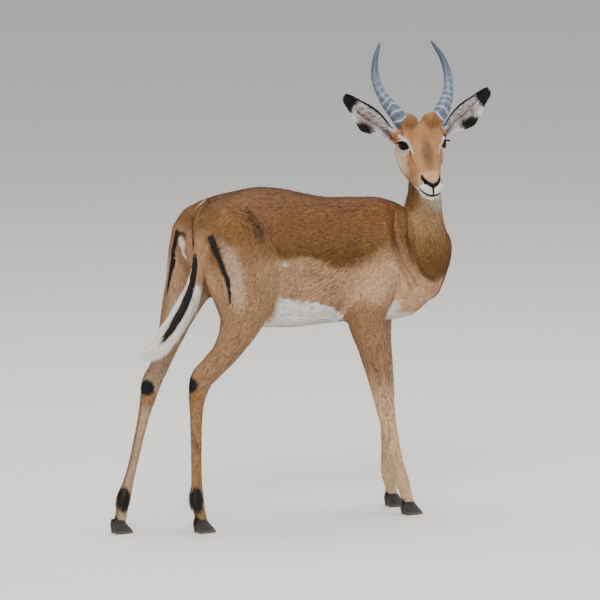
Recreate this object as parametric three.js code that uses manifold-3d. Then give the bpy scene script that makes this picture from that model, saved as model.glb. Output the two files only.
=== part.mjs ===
// A young male impala standing and looking back over its right side, at life size.
// Millimetres. +X is forward, +Y is the animal's left, +Z is up, and the floor is z = 0.
import * as THREE from "three";
import { mergeVertices } from "three/addons/utils/BufferGeometryUtils.js";
import Module from "manifold-3d";

// Driving dimensions
const GAP = 0.3; // clearance between neighbouring solids
const BACK = 836; // height of the withers
const CROUP = 883; // height of the highest point of the rump
const BELLY = 508; // height of the lowest point of the belly
const CHEST_HALF = 124; // half the width of the rib cage
const SOLE_LENGTH = 54; // hoof, heel to toe
const TOE_SHARE = 0.6; // share of the sole that lies ahead of the leg
const CLAW_HALF = 9; // half the width of one claw
const CLAW_SPACING = 10.5; // from the middle of the foot to the middle of a claw
const CORONET = 36; // height of the top of the hoof
const EYE_RADIUS = 17.5;
const EAR_LENGTH = 184;
const EAR_THICKNESS = 4;
const HORN_RADIUS = 17.5; // at the base
const HORN_TIP_RADIUS = 1.5;
const HORN_FLARE = 4; // extra radius at the base
const FLARE_SHARE = 0.16; // share of the length that the flare takes up
const HORN_TAPER = 0.62; // below 1 keeps the horn stout for longer
const HORN_RINGS = 7; // strong rings on the lower part of each horn
const RINGED_SHARE = 1 / 1.7; // share of the horn's length that carries rings
const RING_RELIEF = 1.6;
const MODEL_CENTRE = [18.8, -30.8]; // middle of the bounding box, in X and Y

// Pose of the head: where the middle of the eye line is, and how the head is turned
const EYE_LINE = [335, -100, 977];
const HEAD_YAW = -101; // degrees about Z, from straight ahead towards the right
const HEAD_PITCH = 42; // degrees that the face line falls below level
const HEAD_ROLL = 1; // degrees about the face line

const COLOURS = {
  saddle: 0xa5693f,
  flank: 0xc08a5c,
  face: 0xb27a4a,
  white: 0xeee7dc,
  eye: 0x140d09,
  horn: 0x6a7482,
  hoof: 0x1e1a18,
};

const X_AXIS = new THREE.Vector3(1, 0, 0);
const Z_AXIS = new THREE.Vector3(0, 0, 1);
const FLAT = 0; // length of a cap that is cut straight across
const CAP_RINGS = 2; // rings that round off a cap
const ELLIPSE = 2.1; // fullness of an ordinary section

const library = await Module();
library.setup();

// ---- Geometry helpers ----

function curveThrough(points) {
  return new THREE.CatmullRomCurve3(points, false, "catmullrom", 0.5);
}

function signedPower(value, exponent) {
  return Math.sign(value) * Math.abs(value) ** exponent;
}

function signedVolume(positions, index) {
  let volume = 0;
  for (let i = 0; i < index.length; i += 3) {
    const [a, b, c] = [0, 1, 2].map((k) => positions[index[i + k]]);
    volume += a.dot(b.clone().cross(c)) / 6;
  }
  return volume;
}

/** Closed indexed geometry from points and triangles, turned so that its faces point out. */
function closedGeometry(points, index) {
  if (signedVolume(points, index) < 0) {
    index.reverse();
  }
  const geometry = new THREE.BufferGeometry();
  geometry.setFromPoints(points);
  geometry.setIndex(index);
  return geometry;
}

/** Joins rings that all have the same number of points, and closes each end on a point. */
function skinRings(rings, first, last) {
  const count = rings[0].length;
  const points = rings.flat();
  const index = [];
  for (let r = 0; r + 1 < rings.length; r += 1) {
    for (let k = 0; k < count; k += 1) {
      const a = r * count + k;
      const b = r * count + ((k + 1) % count);
      index.push(a, b, a + count, b, b + count, a + count);
    }
  }
  const start = points.push(first) - 1;
  const end = points.push(last) - 1;
  const base = (rings.length - 1) * count;
  for (let k = 0; k < count; k += 1) {
    const next = (k + 1) % count;
    index.push(start, next, k, end, base + k, base + next);
  }
  return closedGeometry(points, index);
}

/**
 * Solid swept through rows of [x, y, z, half width, above, below, fullness]. Each section is a superellipse
 * square to the path, "above" being towards the up direction; a fullness of 2 is an ellipse and more is
 * squarer. span picks a stretch of the rows, caps are the lengths of the rounded ends, inset draws a flat
 * end back, and level keeps the sections horizontal.
 */
function loft(rows, options = {}) {
  const { up = Z_AXIS, sides = 14, steps = 2, caps = [FLAT, FLAT] } = options;
  const { grow = 0, level = false, span = [0, rows.length - 1], inset = [0, 0] } = options;
  const path = curveThrough(rows.map(([x, y, z]) => new THREE.Vector3(x, y, z)));
  const size = curveThrough(rows.map(([, , , half, above, below]) => new THREE.Vector3(half, above, below)));
  const shape = curveThrough(rows.map((row) => new THREE.Vector3(row[6] ?? ELLIPSE, 0, 0)));
  const count = Math.round((span[1] - span[0]) * steps);
  const rings = [];

  function frameAt(step) {
    const t = (span[0] + ((span[1] - span[0]) * step) / count) / (rows.length - 1);
    const centre = path.getPoint(t);
    const along = level ? Z_AXIS.clone() : path.getTangent(t);
    const side = along.clone().cross(up).normalize();
    const lift = side.clone().cross(along).normalize();
    const radii = size.getPoint(t).addScalar(grow);
    const power = 2 / shape.getPoint(t).x;
    return { centre, along, side, lift, radii, power };
  }

  function ring({ centre, along, side, lift, radii, power }, scale, shift) {
    return Array.from({ length: sides }, (_, k) => {
      const angle = (2 * Math.PI * k) / sides;
      const across = radii.x * signedPower(Math.cos(angle), power) * scale;
      const rise = signedPower(Math.sin(angle), power) * scale;
      const height = rise * (rise > 0 ? radii.y : radii.z);
      const middle = centre.clone().addScaledVector(along, shift);
      return middle.addScaledVector(side, across).addScaledVector(lift, height);
    });
  }

  function pole({ centre, along }, shift) {
    return centre.clone().addScaledVector(along, shift);
  }

  const start = frameAt(0);
  const end = frameAt(count);
  const startCap = caps[0] ? caps[0] + grow : 0;
  const endCap = caps[1] ? caps[1] + grow : 0;
  const startShift = caps[0] ? 0 : inset[0] - grow;
  const endShift = caps[1] ? 0 : grow - inset[1];
  for (let i = CAP_RINGS; i > 0 && startCap; i -= 1) {
    const angle = (Math.PI / 2) * (i / (CAP_RINGS + 1));
    rings.push(ring(start, Math.cos(angle), -startCap * Math.sin(angle)));
  }
  for (let step = 0; step <= count; step += 1) {
    const shift = step === 0 ? startShift : step === count ? endShift : 0;
    rings.push(ring(frameAt(step), 1, shift));
  }
  for (let i = 1; i <= CAP_RINGS && endCap; i += 1) {
    const angle = (Math.PI / 2) * (i / (CAP_RINGS + 1));
    rings.push(ring(end, Math.cos(angle), endCap * Math.sin(angle)));
  }
  return skinRings(rings, pole(start, startShift - startCap), pole(end, endShift + endCap));
}

/** Sphere stretched to three radii and moved to a centre. */
function ellipsoid(centre, radii, across = 10, down = 7) {
  const ball = new THREE.SphereGeometry(1, across, down);
  ball.deleteAttribute("normal");
  ball.deleteAttribute("uv");
  ball.rotateX(Math.PI / 2);
  ball.scale(...radii);
  ball.translate(...centre);
  return mergeVertices(ball);
}

function toSolid(geometry) {
  const vertProperties = new Float32Array(geometry.attributes.position.array);
  const triVerts = new Uint32Array(geometry.index.array);
  return new library.Manifold(new library.Mesh({ numProp: 3, vertProperties, triVerts }));
}

function fromSolid(solid) {
  const { vertProperties, triVerts } = solid.getMesh();
  const geometry = new THREE.BufferGeometry();
  geometry.setAttribute("position", new THREE.BufferAttribute(vertProperties, 3));
  geometry.setIndex(new THREE.BufferAttribute(triVerts, 1));
  return geometry;
}

/** The first geometry with all the others taken away, down to its largest single piece. */
function cut(geometry, cutters) {
  let solid = toSolid(geometry);
  for (const cutter of cutters) {
    solid = solid.subtract(toSolid(cutter));
  }
  const pieces = solid.decompose().sort((a, b) => b.volume() - a.volume());
  return fromSolid(pieces[0]);
}

function join(geometries) {
  const [first, ...rest] = geometries.map(toSolid);
  return fromSolid(rest.reduce((sum, solid) => sum.add(solid), first));
}

function mesh(name, geometry, colour, roughness = 0.8) {
  const material = new THREE.MeshStandardMaterial({ color: colour, roughness, metalness: 0 });
  geometry.computeVertexNormals();
  const part = new THREE.Mesh(geometry, material);
  part.name = name;
  return part;
}

// ---- Trunk and neck ----

const TRUNK = [
  [-284, 0, 768, 84, 54, 62, 3.2],
  [-262, 0, 760, 105, 90, 86, 3.2],
  [-215, 0, 744, 111, 126, 116, 2.8],
  [-145, 0, 722, 116, CROUP - 723, 150, 2.2],
  [-70, 0, 705, CHEST_HALF - 2, 171, 187],
  [10, 0, 690, CHEST_HALF, 168, 690 - BELLY],
  [95, 0, 680, CHEST_HALF, 161, 170],
  [180, 0, 672, 114, BACK - 672, 159],
  [250, 0, 664, 98, 165, 154],
  [315, 0, 655, 84, 146, 148],
  [375, 0, 648, 70, 108, 130],
  [425, 0, 640, 50, 66, 88],
];

function trunkShape(grow = 0) {
  return loft(TRUNK, { sides: 18, caps: [12, 24], grow });
}

const NECK = [
  [342, 0, 640, 80, 95, 88],
  [372, 0, 690, 75, 100, 88],
  [380, 0, 740, 61, 79, 72],
  [390, -1, 790, 48, 54, 47],
  [394, -4, 840, 42, 45, 44],
  [390, -12, 890, 40, 44, 43],
  [377, -24, 935, 40, 44, 44],
  [352, -38, 978, 40, 44, 42],
];

function neckShape() {
  return loft(NECK, { up: X_AXIS, sides: 14, caps: [30, 20] });
}

// ---- Head, in its own frame: x towards the nose, y to its left, z out of the forehead ----

const SKULL = [
  [-86, 0, -22, 30, 26, 26],
  [-66, 0, -20, 49, 49, 44],
  [-38, 0, -22, 57, 55, 62],
  [-8, 0, -28, 58, 59, 70, 2.3],
  [20, 0, -34, 55, 58, 66, 2.5],
  [50, 0, -38, 46, 51, 54, 2.5],
  [80, 0, -38, 36, 41, 39, 2.4],
  [106, 0, -36, 33.5, 32, 30, 2.3],
  [128, 0, -36, 31.5, 24, 26, 2.3],
  [142, 0, -38, 22, 15, 18],
];
const ORBIT = { centre: [1, 41, 3], radii: [27, 20, 20] };
const CROWN_TUFT = { centre: [-50, 31, 24], radii: [22, 26, 27] }; // thick hair in front of each horn
const EYE = [3, 45, 3];

function headFrame() {
  const turn = new THREE.Euler();
  turn.order = "ZYX";
  turn.set(
    THREE.MathUtils.degToRad(HEAD_ROLL),
    THREE.MathUtils.degToRad(HEAD_PITCH),
    THREE.MathUtils.degToRad(HEAD_YAW),
  );
  const group = new THREE.Group();
  group.position.set(...EYE_LINE);
  group.rotation.copy(turn);
  group.updateMatrix();
  return group;
}

function mirrored([x, y, z], side) {
  return [x, y * side, z];
}

function headShape(grow = 0) {
  const skull = loft(SKULL, { sides: 14, caps: [10, 8], grow });
  const mounds = [ORBIT, CROWN_TUFT].flatMap(({ centre, radii }) =>
    [1, -1].map((side) => ellipsoid(mirrored(centre, side), radii.map((r) => r + grow))),
  );
  return join([skull, ...mounds]);
}

function eyeShape(side, grow = 0) {
  const radius = EYE_RADIUS + grow;
  return ellipsoid(mirrored(EYE, side), [radius, radius, radius]);
}

const HORN_STEPS = 18; // sections along a horn

/** Horn that leaves the crown sideways, bows out and turns in again at the tip. */
const HORN_LINE = [
  [-44, 31, 12],
  [-72, 60, 37],
  [-115, 85, 50],
  [-168, 98, 62],
  [-220, 92, 79],
  [-272, 70, 92],
];

function hornShape(side, grow = 0) {
  const line = curveThrough(HORN_LINE.map((point) => new THREE.Vector3(...mirrored(point, side))));
  const rows = Array.from({ length: HORN_STEPS + 1 }, (_, i) => {
    const t = i / HORN_STEPS;
    const ringed = t / RINGED_SHARE;
    const flare = HORN_FLARE * Math.max(0, 1 - t / FLARE_SHARE);
    const taper = HORN_RADIUS * (1 - t) ** HORN_TAPER + HORN_TIP_RADIUS * t + flare;
    const ridge = RING_RELIEF * Math.max(0, 1 - ringed) * Math.cos(2 * Math.PI * HORN_RINGS * ringed);
    const radius = taper + ridge;
    return [...line.getPoint(t).toArray(), radius, radius, radius];
  });
  return loft(rows, { sides: 9, steps: 1, caps: [FLAT, 2], grow });
}

/** Cupped leaf: rows of [share of the length, half width, depth of the cup, droop of the middle]. */
const EAR_LEAF = [
  [0, 12, 8, 22],
  [0.14, 13, 14, 20.5],
  [0.3, 22, 22, 17],
  [0.44, 30, 24, 17.5],
  [0.54, 33, 23, 18],
  [0.64, 29, 20, 14],
  [0.76, 22, 15, 9],
  [0.88, 14.5, 8, 4],
  [0.96, 8, 4, 1.5],
  [1, 3, 1, 0],
];
const EAR_BASE = [-44, 42, -4];
const EAR_TIP_WAY = [-0.39, 0.84, 0.38]; // way from the base of the ear to its tip
const EAR_OPENING = [0.67, 0.06, 0.71]; // way that the cup faces

function earShape(side) {
  const along = new THREE.Vector3(...mirrored(EAR_TIP_WAY, side)).normalize();
  const facing = new THREE.Vector3(...mirrored(EAR_OPENING, side));
  facing.addScaledVector(along, -facing.dot(along)).normalize();
  const across = along.clone().cross(facing);
  const base = new THREE.Vector3(...mirrored(EAR_BASE, side));
  const columns = 7;

  function point(share, lateral, depth) {
    return base
      .clone()
      .addScaledVector(along, share * EAR_LENGTH)
      .addScaledVector(across, lateral)
      .addScaledVector(facing, -depth);
  }

  const rings = EAR_LEAF.map(([share, half, cup, droop]) => {
    const inner = [];
    const outer = [];
    for (let k = 0; k <= columns; k += 1) {
      const s = (2 * k) / columns - 1;
      const bow = 1 - s * s;
      inner.push(point(share, half * s + droop * side, cup * bow));
      outer.unshift(point(share, (half + EAR_THICKNESS) * s + droop * side, (cup + EAR_THICKNESS) * bow));
    }
    return [...inner, ...outer];
  });
  const root = point(EAR_LEAF[0][0], 0, EAR_LEAF[0][2] + EAR_THICKNESS / 2);
  const tip = point(1, 0, EAR_LEAF.at(-1)[2] + EAR_THICKNESS / 2);
  return skinRings(rings, root, tip);
}

// ---- Legs: rows run down the limb, "above" is towards the front ----

const LEGS = {
  fore_right: {
    split: 6,
    rows: [
      [222, -62, 645, 44, 58, 66],
      [194, -70, 575, 42, 62, 68],
      [189, -73, 518, 36, 50, 55],
      [198, -75, 469, 29, 43, 45],
      [210, -77, 411, 24.5, 34, 36],
      [228, -77, 340, 21.5, 30, 30],
      [242, -76, 280, 20, 27, 26],
      [251, -75.5, 243, 16.5, 23, 22],
      [268, -75, 178, 13.5, 19, 18.5],
      [281, -74, 130, 14, 18, 18],
      [291, -74, 94, 17.5, 20, 22],
      [303, -73, 58, 16, 17, 17],
      [311, -73, 30, 18, 17, 17],
    ],
    sole: [318, -73],
  },
  fore_left: {
    split: 6,
    rows: [
      [298, 58, 645, 42, 56, 64],
      [288, 64, 575, 40, 58, 62],
      [286, 66, 515, 35, 52, 54],
      [292, 65, 457, 28, 42, 44],
      [300, 63, 411, 23.5, 36, 37],
      [309, 60, 350, 21, 30, 30],
      [314, 57, 284, 20, 26, 25],
      [317, 55, 240, 16.5, 21, 21],
      [316, 54, 178, 13.5, 17, 17],
      [315, 53, 125, 14, 16, 17],
      [318, 52, 90, 17, 18, 19],
      [325, 51, 56, 16, 16, 16],
      [330, 50, 28, 18, 17, 17],
    ],
    sole: [337, 50],
  },
  hind_right: {
    split: 9,
    rows: [
      [-160, -62, 782, 48, 66, 110],
      [-166, -70, 715, 57, 112, 114],
      [-171, -73, 650, 54, 104, 104],
      [-171, -72, 600, 47, 87, 87],
      [-178, -70, 548, 39, 63, 64],
      [-197, -68, 503, 31, 46, 48],
      [-224, -64, 462, 25, 37, 39],
      [-253, -60, 430, 22, 32, 38],
      [-282, -57, 395, 20.5, 26, 40],
      [-296, -53, 350, 18, 22.5, 25],
      [-299, -52, 300, 14.5, 18, 18.5],
      [-299, -51, 200, 13, 16, 16],
      [-297, -50, 130, 13.5, 16, 17],
      [-296, -50, 92, 17, 19, 20],
      [-290, -50, 58, 16, 17, 17],
      [-284, -50, 30, 18, 17, 17],
    ],
    sole: [-278, -50],
  },
  hind_left: {
    split: 9,
    rows: [
      [-172, 60, 782, 48, 66, 112],
      [-194, 70, 722, 57, 90, 122],
      [-228, 75, 672, 55, 80, 94],
      [-256, 75, 620, 49, 62, 68],
      [-284, 72, 563, 40, 48, 50],
      [-305, 68, 513, 32, 37, 39],
      [-328, 62, 465, 25, 29, 31],
      [-350, 56, 420, 21.5, 24, 28],
      [-372, 51, 380, 20, 22.5, 33],
      [-388, 50, 336, 18, 20, 22],
      [-402, 48, 290, 14.5, 16, 16],
      [-430, 46, 185, 12.5, 14, 14],
      [-445, 45, 134, 13.5, 15, 16],
      [-457, 44, 95, 17, 18, 19],
      [-466, 43, 60, 16, 17, 17],
      [-472, 42, 30, 18, 17, 17],
    ],
    sole: [-470, 42],
  },
};

function legPiece(leg, isUpper, grow = 0) {
  const last = leg.rows.length - 1;
  const span = isUpper ? [0, leg.split] : [leg.split, last];
  const inset = isUpper ? [0, GAP / 2] : [GAP / 2, 0];
  const detail = isUpper ? { sides: 12, steps: 2 } : { sides: 10, steps: 1 };
  const caps = isUpper ? [24, FLAT] : [FLAT, FLAT];
  return loft(leg.rows, { up: X_AXIS, ...detail, caps, span, inset, grow });
}

/** One claw of a hoof: a level loft from the flat sole up to the coronet. */
function clawShape([x, y], side, grow = 0) {
  const toe = TOE_SHARE * SOLE_LENGTH;
  const heel = SOLE_LENGTH - toe;
  const middle = y + side * CLAW_SPACING;
  const rows = [
    [x, middle, 0, CLAW_HALF, toe, heel],
    [x - 2, middle, 10, CLAW_HALF + 0.5, toe - 5, heel - 1],
    [x - 6, middle, 23, CLAW_HALF, toe - 13, heel - 3],
    [x - 9, middle, CORONET, CLAW_HALF - 2, toe - 20, heel - 9],
  ];
  return loft(rows, { up: X_AXIS, sides: 10, steps: 1, level: true, grow });
}

// ---- Tail: laid over the right buttock, with its brush spreading down behind the left thigh ----

const TAIL = [
  [-240, 0, 850, 15, 12, 14],
  [-263, -8, 834, 17, 13, 15],
  [-279, -20, 813, 16, 12, 13],
  [-288, -35, 786, 16, 11, 12],
  [-293, -50, 760, 18, 11, 12],
  [-297, -60, 733, 20, 11, 12],
  [-297, -58, 702, 21, 11, 12],
  [-296, -44, 664, 26, 11, 11],
  [-304, -35, 628, 33, 12, 12],
  [-320, -31, 592, 38, 12, 12],
  [-340, -27, 557, 40, 13, 12],
  [-364, -21, 521, 37, 12, 11],
  [-389, -14, 494, 27, 10, 10],
  [-406, -8, 480, 13, 7, 7],
];
const TAIL_FACE = new THREE.Vector3(0.75, 0.66, 0); // away from the brush's broad outer face

function tailShape(grow = 0) {
  return loft(TAIL, { up: TAIL_FACE, sides: 12, steps: 1, caps: [8, 10], grow });
}

// ---- Assembly ----

function buildHead(group) {
  const eyes = [1, -1].map((side) => eyeShape(side, GAP));
  const grownHead = headShape(GAP);
  group.add(mesh("head", cut(headShape(), eyes), COLOURS.face));
  for (const [name, side] of [["left", 1], ["right", -1]]) {
    group.add(mesh(`horn_${name}`, cut(hornShape(side), [grownHead]), COLOURS.horn, 0.5));
    group.add(mesh(`eye_${name}`, eyeShape(side), COLOURS.eye, 0.1));
    group.add(mesh(`ear_${name}`, cut(earShape(side), [grownHead, hornShape(side, GAP)]), COLOURS.face));
  }
}

function buildLegs(group, trunkCutter) {
  for (const [name, leg] of Object.entries(LEGS)) {
    const claws = [["outer", -1], ["inner", 1]].map(([place, side]) => {
      const away = Math.sign(leg.sole[1]) * -side;
      group.add(mesh(`hoof_${name}_${place}`, clawShape(leg.sole, away), COLOURS.hoof, 0.5));
      return clawShape(leg.sole, away, GAP);
    });
    group.add(mesh(`leg_${name}_upper`, cut(legPiece(leg, true), [trunkCutter]), COLOURS.flank));
    group.add(mesh(`leg_${name}_lower`, cut(legPiece(leg, false), claws), COLOURS.flank));
  }
}

function buildModel() {
  const model = new THREE.Group();
  model.position.set(-MODEL_CENTRE[0], -MODEL_CENTRE[1], 0);
  const head = headFrame();
  const headCutter = headShape(GAP).applyMatrix4(head.matrix);
  const trunkCutter = trunkShape(GAP);
  const legCutters = Object.values(LEGS).map((leg) => legPiece(leg, true, GAP));
  const neckCutters = [trunkCutter, headCutter, ...legCutters];
  model.add(mesh("trunk", cut(trunkShape(), [tailShape(GAP)]), COLOURS.saddle));
  model.add(mesh("neck", cut(neckShape(), neckCutters), COLOURS.flank));
  model.add(mesh("tail", cut(tailShape(), legCutters), COLOURS.white));
  buildLegs(model, trunkCutter);
  buildHead(head);
  model.add(head);
  return model;
}

export default buildModel();
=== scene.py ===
"""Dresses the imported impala: one skin, a coat of tufts, horns, eyes and hooves.

Then it lays the floor and sets the lights and the camera.
"""

import math

import bmesh
import bpy
import numpy as np
import openvdb
from mathutils import Matrix, Vector


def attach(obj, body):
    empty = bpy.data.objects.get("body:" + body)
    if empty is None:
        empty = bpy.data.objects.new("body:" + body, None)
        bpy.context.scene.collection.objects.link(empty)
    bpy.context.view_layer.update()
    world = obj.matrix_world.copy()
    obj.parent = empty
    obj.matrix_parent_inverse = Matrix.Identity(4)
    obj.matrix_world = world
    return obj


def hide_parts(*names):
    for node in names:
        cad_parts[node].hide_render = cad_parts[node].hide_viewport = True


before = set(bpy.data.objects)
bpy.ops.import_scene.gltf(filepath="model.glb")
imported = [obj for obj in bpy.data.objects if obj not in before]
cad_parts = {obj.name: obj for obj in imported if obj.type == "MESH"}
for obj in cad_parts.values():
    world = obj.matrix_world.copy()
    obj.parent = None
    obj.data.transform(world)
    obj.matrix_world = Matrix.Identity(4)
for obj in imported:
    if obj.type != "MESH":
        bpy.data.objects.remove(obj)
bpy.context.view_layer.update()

MM = 0.001
MODEL_CENTRE = np.array([18.8, -30.8, 0.0])
EYE_LINE = np.array([335.0, -100.0, 977.0])
HEAD_YAW, HEAD_PITCH, HEAD_ROLL = -101, 42, 1
X_AXIS = np.array([1.0, 0.0, 0.0])
Y_AXIS = np.array([0.0, 1.0, 0.0])
Z_AXIS = np.array([0.0, 0.0, 1.0])
ELLIPSE = 2.1
SIDES = (1, -1)
NAMED_SIDES = (("left", 1), ("right", -1))

BODY_CELL = 3.4 * MM
HEAD_CELL = 1.5 * MM
BAND = 12  # cells of distance kept on each side of a surface
NECK_CUT = 830 * MM  # height at which the head's finer skin is sewn to the body's
SEWN_GAP = 1.6 * MM
CUT_ZONE = 0.02  # how far below the cut the body's skin is searched
NECK_BACK = 0.28  # x behind which nothing is cut or sewn
COAT_DEPTH = 3 * MM
FACE_DEPTH = 1.3 * MM

random = np.random.default_rng(7)

# ---- Small maths ----


def unit(vectors):
    return vectors / np.maximum(np.linalg.norm(vectors, axis=-1, keepdims=True), 1e-12)


def smooth(value, low, high):
    t = np.clip((value - low) / (high - low), 0, 1)
    return t * t * (3 - 2 * t)


def spline(rows, t):
    """Points of the uniform Catmull-Rom curve through rows, for t from 0 to len(rows) - 1."""
    rows = np.asarray(rows, float)
    ends = np.vstack([2 * rows[0] - rows[1], rows, 2 * rows[-1] - rows[-2]])
    i = np.clip(np.floor(t).astype(int), 0, len(rows) - 2)
    w = (t - i)[:, None]
    a, b, c, d = ends[i], ends[i + 1], ends[i + 2], ends[i + 3]
    rise, fall = 3 * w**2 - 2 * w**3, w**3 - w**2
    return b + rise * (c - b) + (w**3 - 2 * w**2 + w) * (c - a) / 2 + fall * (d - b) / 2


def dense(rows, steps):
    return spline(rows, np.linspace(0, len(rows) - 1, (len(rows) - 1) * steps + 1))


def both_sides(point, side):
    return np.array(point, float) * [1, side, 1]


def turn(axis, degrees):
    return np.array(Matrix.Rotation(math.radians(degrees), 3, axis))


HEAD_TURN = turn("Z", HEAD_YAW) @ turn("Y", HEAD_PITCH) @ turn("X", HEAD_ROLL)
HEAD_PLACE = (EYE_LINE - MODEL_CENTRE) * MM


def head_to_row(points):
    return points @ HEAD_TURN.T + HEAD_PLACE


def row_to_head(points):
    return (points - HEAD_PLACE) @ HEAD_TURN


def skull_to_row(rows):
    return head_to_row(rows * MM)


def draft_to_row(points):
    return (np.asarray(points, float) - MODEL_CENTRE) * MM


def at_row(rows, k, shift):
    """Centre of a limb's section, moved by millimetres."""
    return draft_to_row(rows[k][:3]) + np.array(shift, float) * MM


# ---- Limbs: the same rows as the solids, in millimetres ----

TRUNK = [
    [-284, 0, 768, 84, 54, 62, 3.2],
    [-262, 0, 760, 105, 90, 86, 3.2],
    [-215, 0, 744, 111, 126, 116, 2.8],
    [-145, 0, 722, 116, 160, 150, 2.2],
    [-70, 0, 705, 122, 171, 187],
    [10, 0, 690, 124, 168, 182],
    [95, 0, 680, 124, 161, 170],
    [180, 0, 672, 114, 164, 159],
    [250, 0, 664, 98, 165, 154],
    [315, 0, 655, 84, 146, 148],
    [375, 0, 648, 70, 108, 130],
    [425, 0, 640, 50, 66, 88],
]
NECK = [
    [342, 0, 640, 80, 95, 88],
    [372, 0, 690, 75, 100, 88],
    [380, 0, 740, 61, 79, 72],
    [390, -1, 790, 48, 54, 47],
    [394, -4, 840, 42, 45, 44],
    [390, -12, 890, 40, 44, 43],
    [377, -24, 935, 40, 44, 44],
    [352, -38, 978, 40, 44, 42],
]
SKULL = [
    [-86, 0, -22, 30, 26, 26],
    [-66, 0, -20, 49, 49, 44],
    [-38, 0, -22, 57, 55, 62],
    [-8, 0, -28, 58, 59, 70, 2.3],
    [20, 0, -34, 55, 58, 66, 2.5],
    [50, 0, -38, 46, 51, 54, 2.5],
    [80, 0, -38, 36, 41, 39, 2.4],
    [106, 0, -36, 33.5, 32, 30, 2.3],
    [128, 0, -36, 31.5, 24, 26, 2.3],
    [142, 0, -38, 22, 15, 18],
]
FORE_RIGHT = [
    [222, -62, 645, 44, 58, 66],
    [194, -70, 575, 42, 62, 68],
    [189, -73, 518, 36, 50, 55],
    [198, -75, 469, 29, 43, 45],
    [210, -77, 411, 24.5, 34, 36],
    [228, -77, 340, 21.5, 30, 30],
    [242, -76, 280, 20, 27, 26],
    [251, -75.5, 243, 16.5, 23, 22],
    [268, -75, 178, 13.5, 19, 18.5],
    [281, -74, 130, 14, 18, 18],
    [291, -74, 94, 17.5, 20, 22],
    [303, -73, 58, 16, 17, 17],
    [311, -73, 30, 18, 17, 17],
]
FORE_LEFT = [
    [298, 58, 645, 42, 56, 64],
    [288, 64, 575, 40, 58, 62],
    [286, 66, 515, 35, 52, 54],
    [292, 65, 457, 28, 42, 44],
    [300, 63, 411, 23.5, 36, 37],
    [309, 60, 350, 21, 30, 30],
    [314, 57, 284, 20, 26, 25],
    [317, 55, 240, 16.5, 21, 21],
    [316, 54, 178, 13.5, 17, 17],
    [315, 53, 125, 14, 16, 17],
    [318, 52, 90, 17, 18, 19],
    [325, 51, 56, 16, 16, 16],
    [330, 50, 28, 18, 17, 17],
]
HIND_RIGHT = [
    [-160, -62, 782, 48, 66, 110],
    [-166, -70, 715, 57, 112, 114],
    [-171, -73, 650, 54, 104, 104],
    [-171, -72, 600, 47, 87, 87],
    [-178, -70, 548, 39, 63, 64],
    [-197, -68, 503, 31, 46, 48],
    [-224, -64, 462, 25, 37, 39],
    [-253, -60, 430, 22, 32, 38],
    [-282, -57, 395, 20.5, 26, 40],
    [-296, -53, 350, 18, 22.5, 25],
    [-299, -52, 300, 14.5, 18, 18.5],
    [-299, -51, 200, 13, 16, 16],
    [-297, -50, 130, 13.5, 16, 17],
    [-296, -50, 92, 17, 19, 20],
    [-290, -50, 58, 16, 17, 17],
    [-284, -50, 30, 18, 17, 17],
]
HIND_LEFT = [
    [-172, 60, 782, 48, 66, 112],
    [-194, 70, 722, 57, 90, 122],
    [-228, 75, 672, 55, 80, 94],
    [-256, 75, 620, 49, 62, 68],
    [-284, 72, 563, 40, 48, 50],
    [-305, 68, 513, 32, 37, 39],
    [-328, 62, 465, 25, 29, 31],
    [-350, 56, 420, 21.5, 24, 28],
    [-372, 51, 380, 20, 22.5, 33],
    [-388, 50, 336, 18, 20, 22],
    [-402, 48, 290, 14.5, 16, 16],
    [-430, 46, 185, 12.5, 14, 14],
    [-445, 45, 134, 13.5, 15, 16],
    [-457, 44, 95, 17, 18, 19],
    [-466, 43, 60, 16, 17, 17],
    [-472, 42, 30, 18, 17, 17],
]
TAIL = [
    [-240, 0, 850, 15, 12, 14],
    [-263, -8, 834, 17, 13, 15],
    [-279, -20, 813, 16, 12, 13],
    [-288, -35, 786, 16, 11, 12],
    [-293, -50, 760, 18, 11, 12],
    [-297, -60, 733, 20, 11, 12],
    [-297, -58, 702, 21, 11, 12],
    [-296, -44, 664, 26, 11, 11],
    [-304, -35, 628, 33, 12, 12],
    [-320, -31, 592, 38, 12, 12],
    [-340, -27, 557, 40, 13, 12],
    [-364, -21, 521, 37, 12, 11],
    [-389, -14, 494, 27, 10, 10],
    [-406, -8, 480, 13, 7, 7],
]
TAIL_FACE = unit(np.array([0.75, 0.66, 0.0]))
# share of the tail's width that isn't hair
TAIL_CORE = [0.92, 0.92, 0.92, 0.92, 0.92, 0.9, 0.86, 0.7, 0.5, 0.38, 0.34, 0.34, 0.36, 0.4]
LEGS = {"fore_right": FORE_RIGHT, "fore_left": FORE_LEFT, "hind_right": HIND_RIGHT, "hind_left": HIND_LEFT}
SOLES = {  # x and y of the middle between each foot's claws
    "fore_right": (318, -73),
    "fore_left": (337, 50),
    "hind_right": (-278, -50),
    "hind_left": (-470, 42),
}
RING_STEPS = 6
RING_SIDES = 48
CAP_STEPS = 5
LOCATE_BATCH = 50000  # points set against the frames at once


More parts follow.
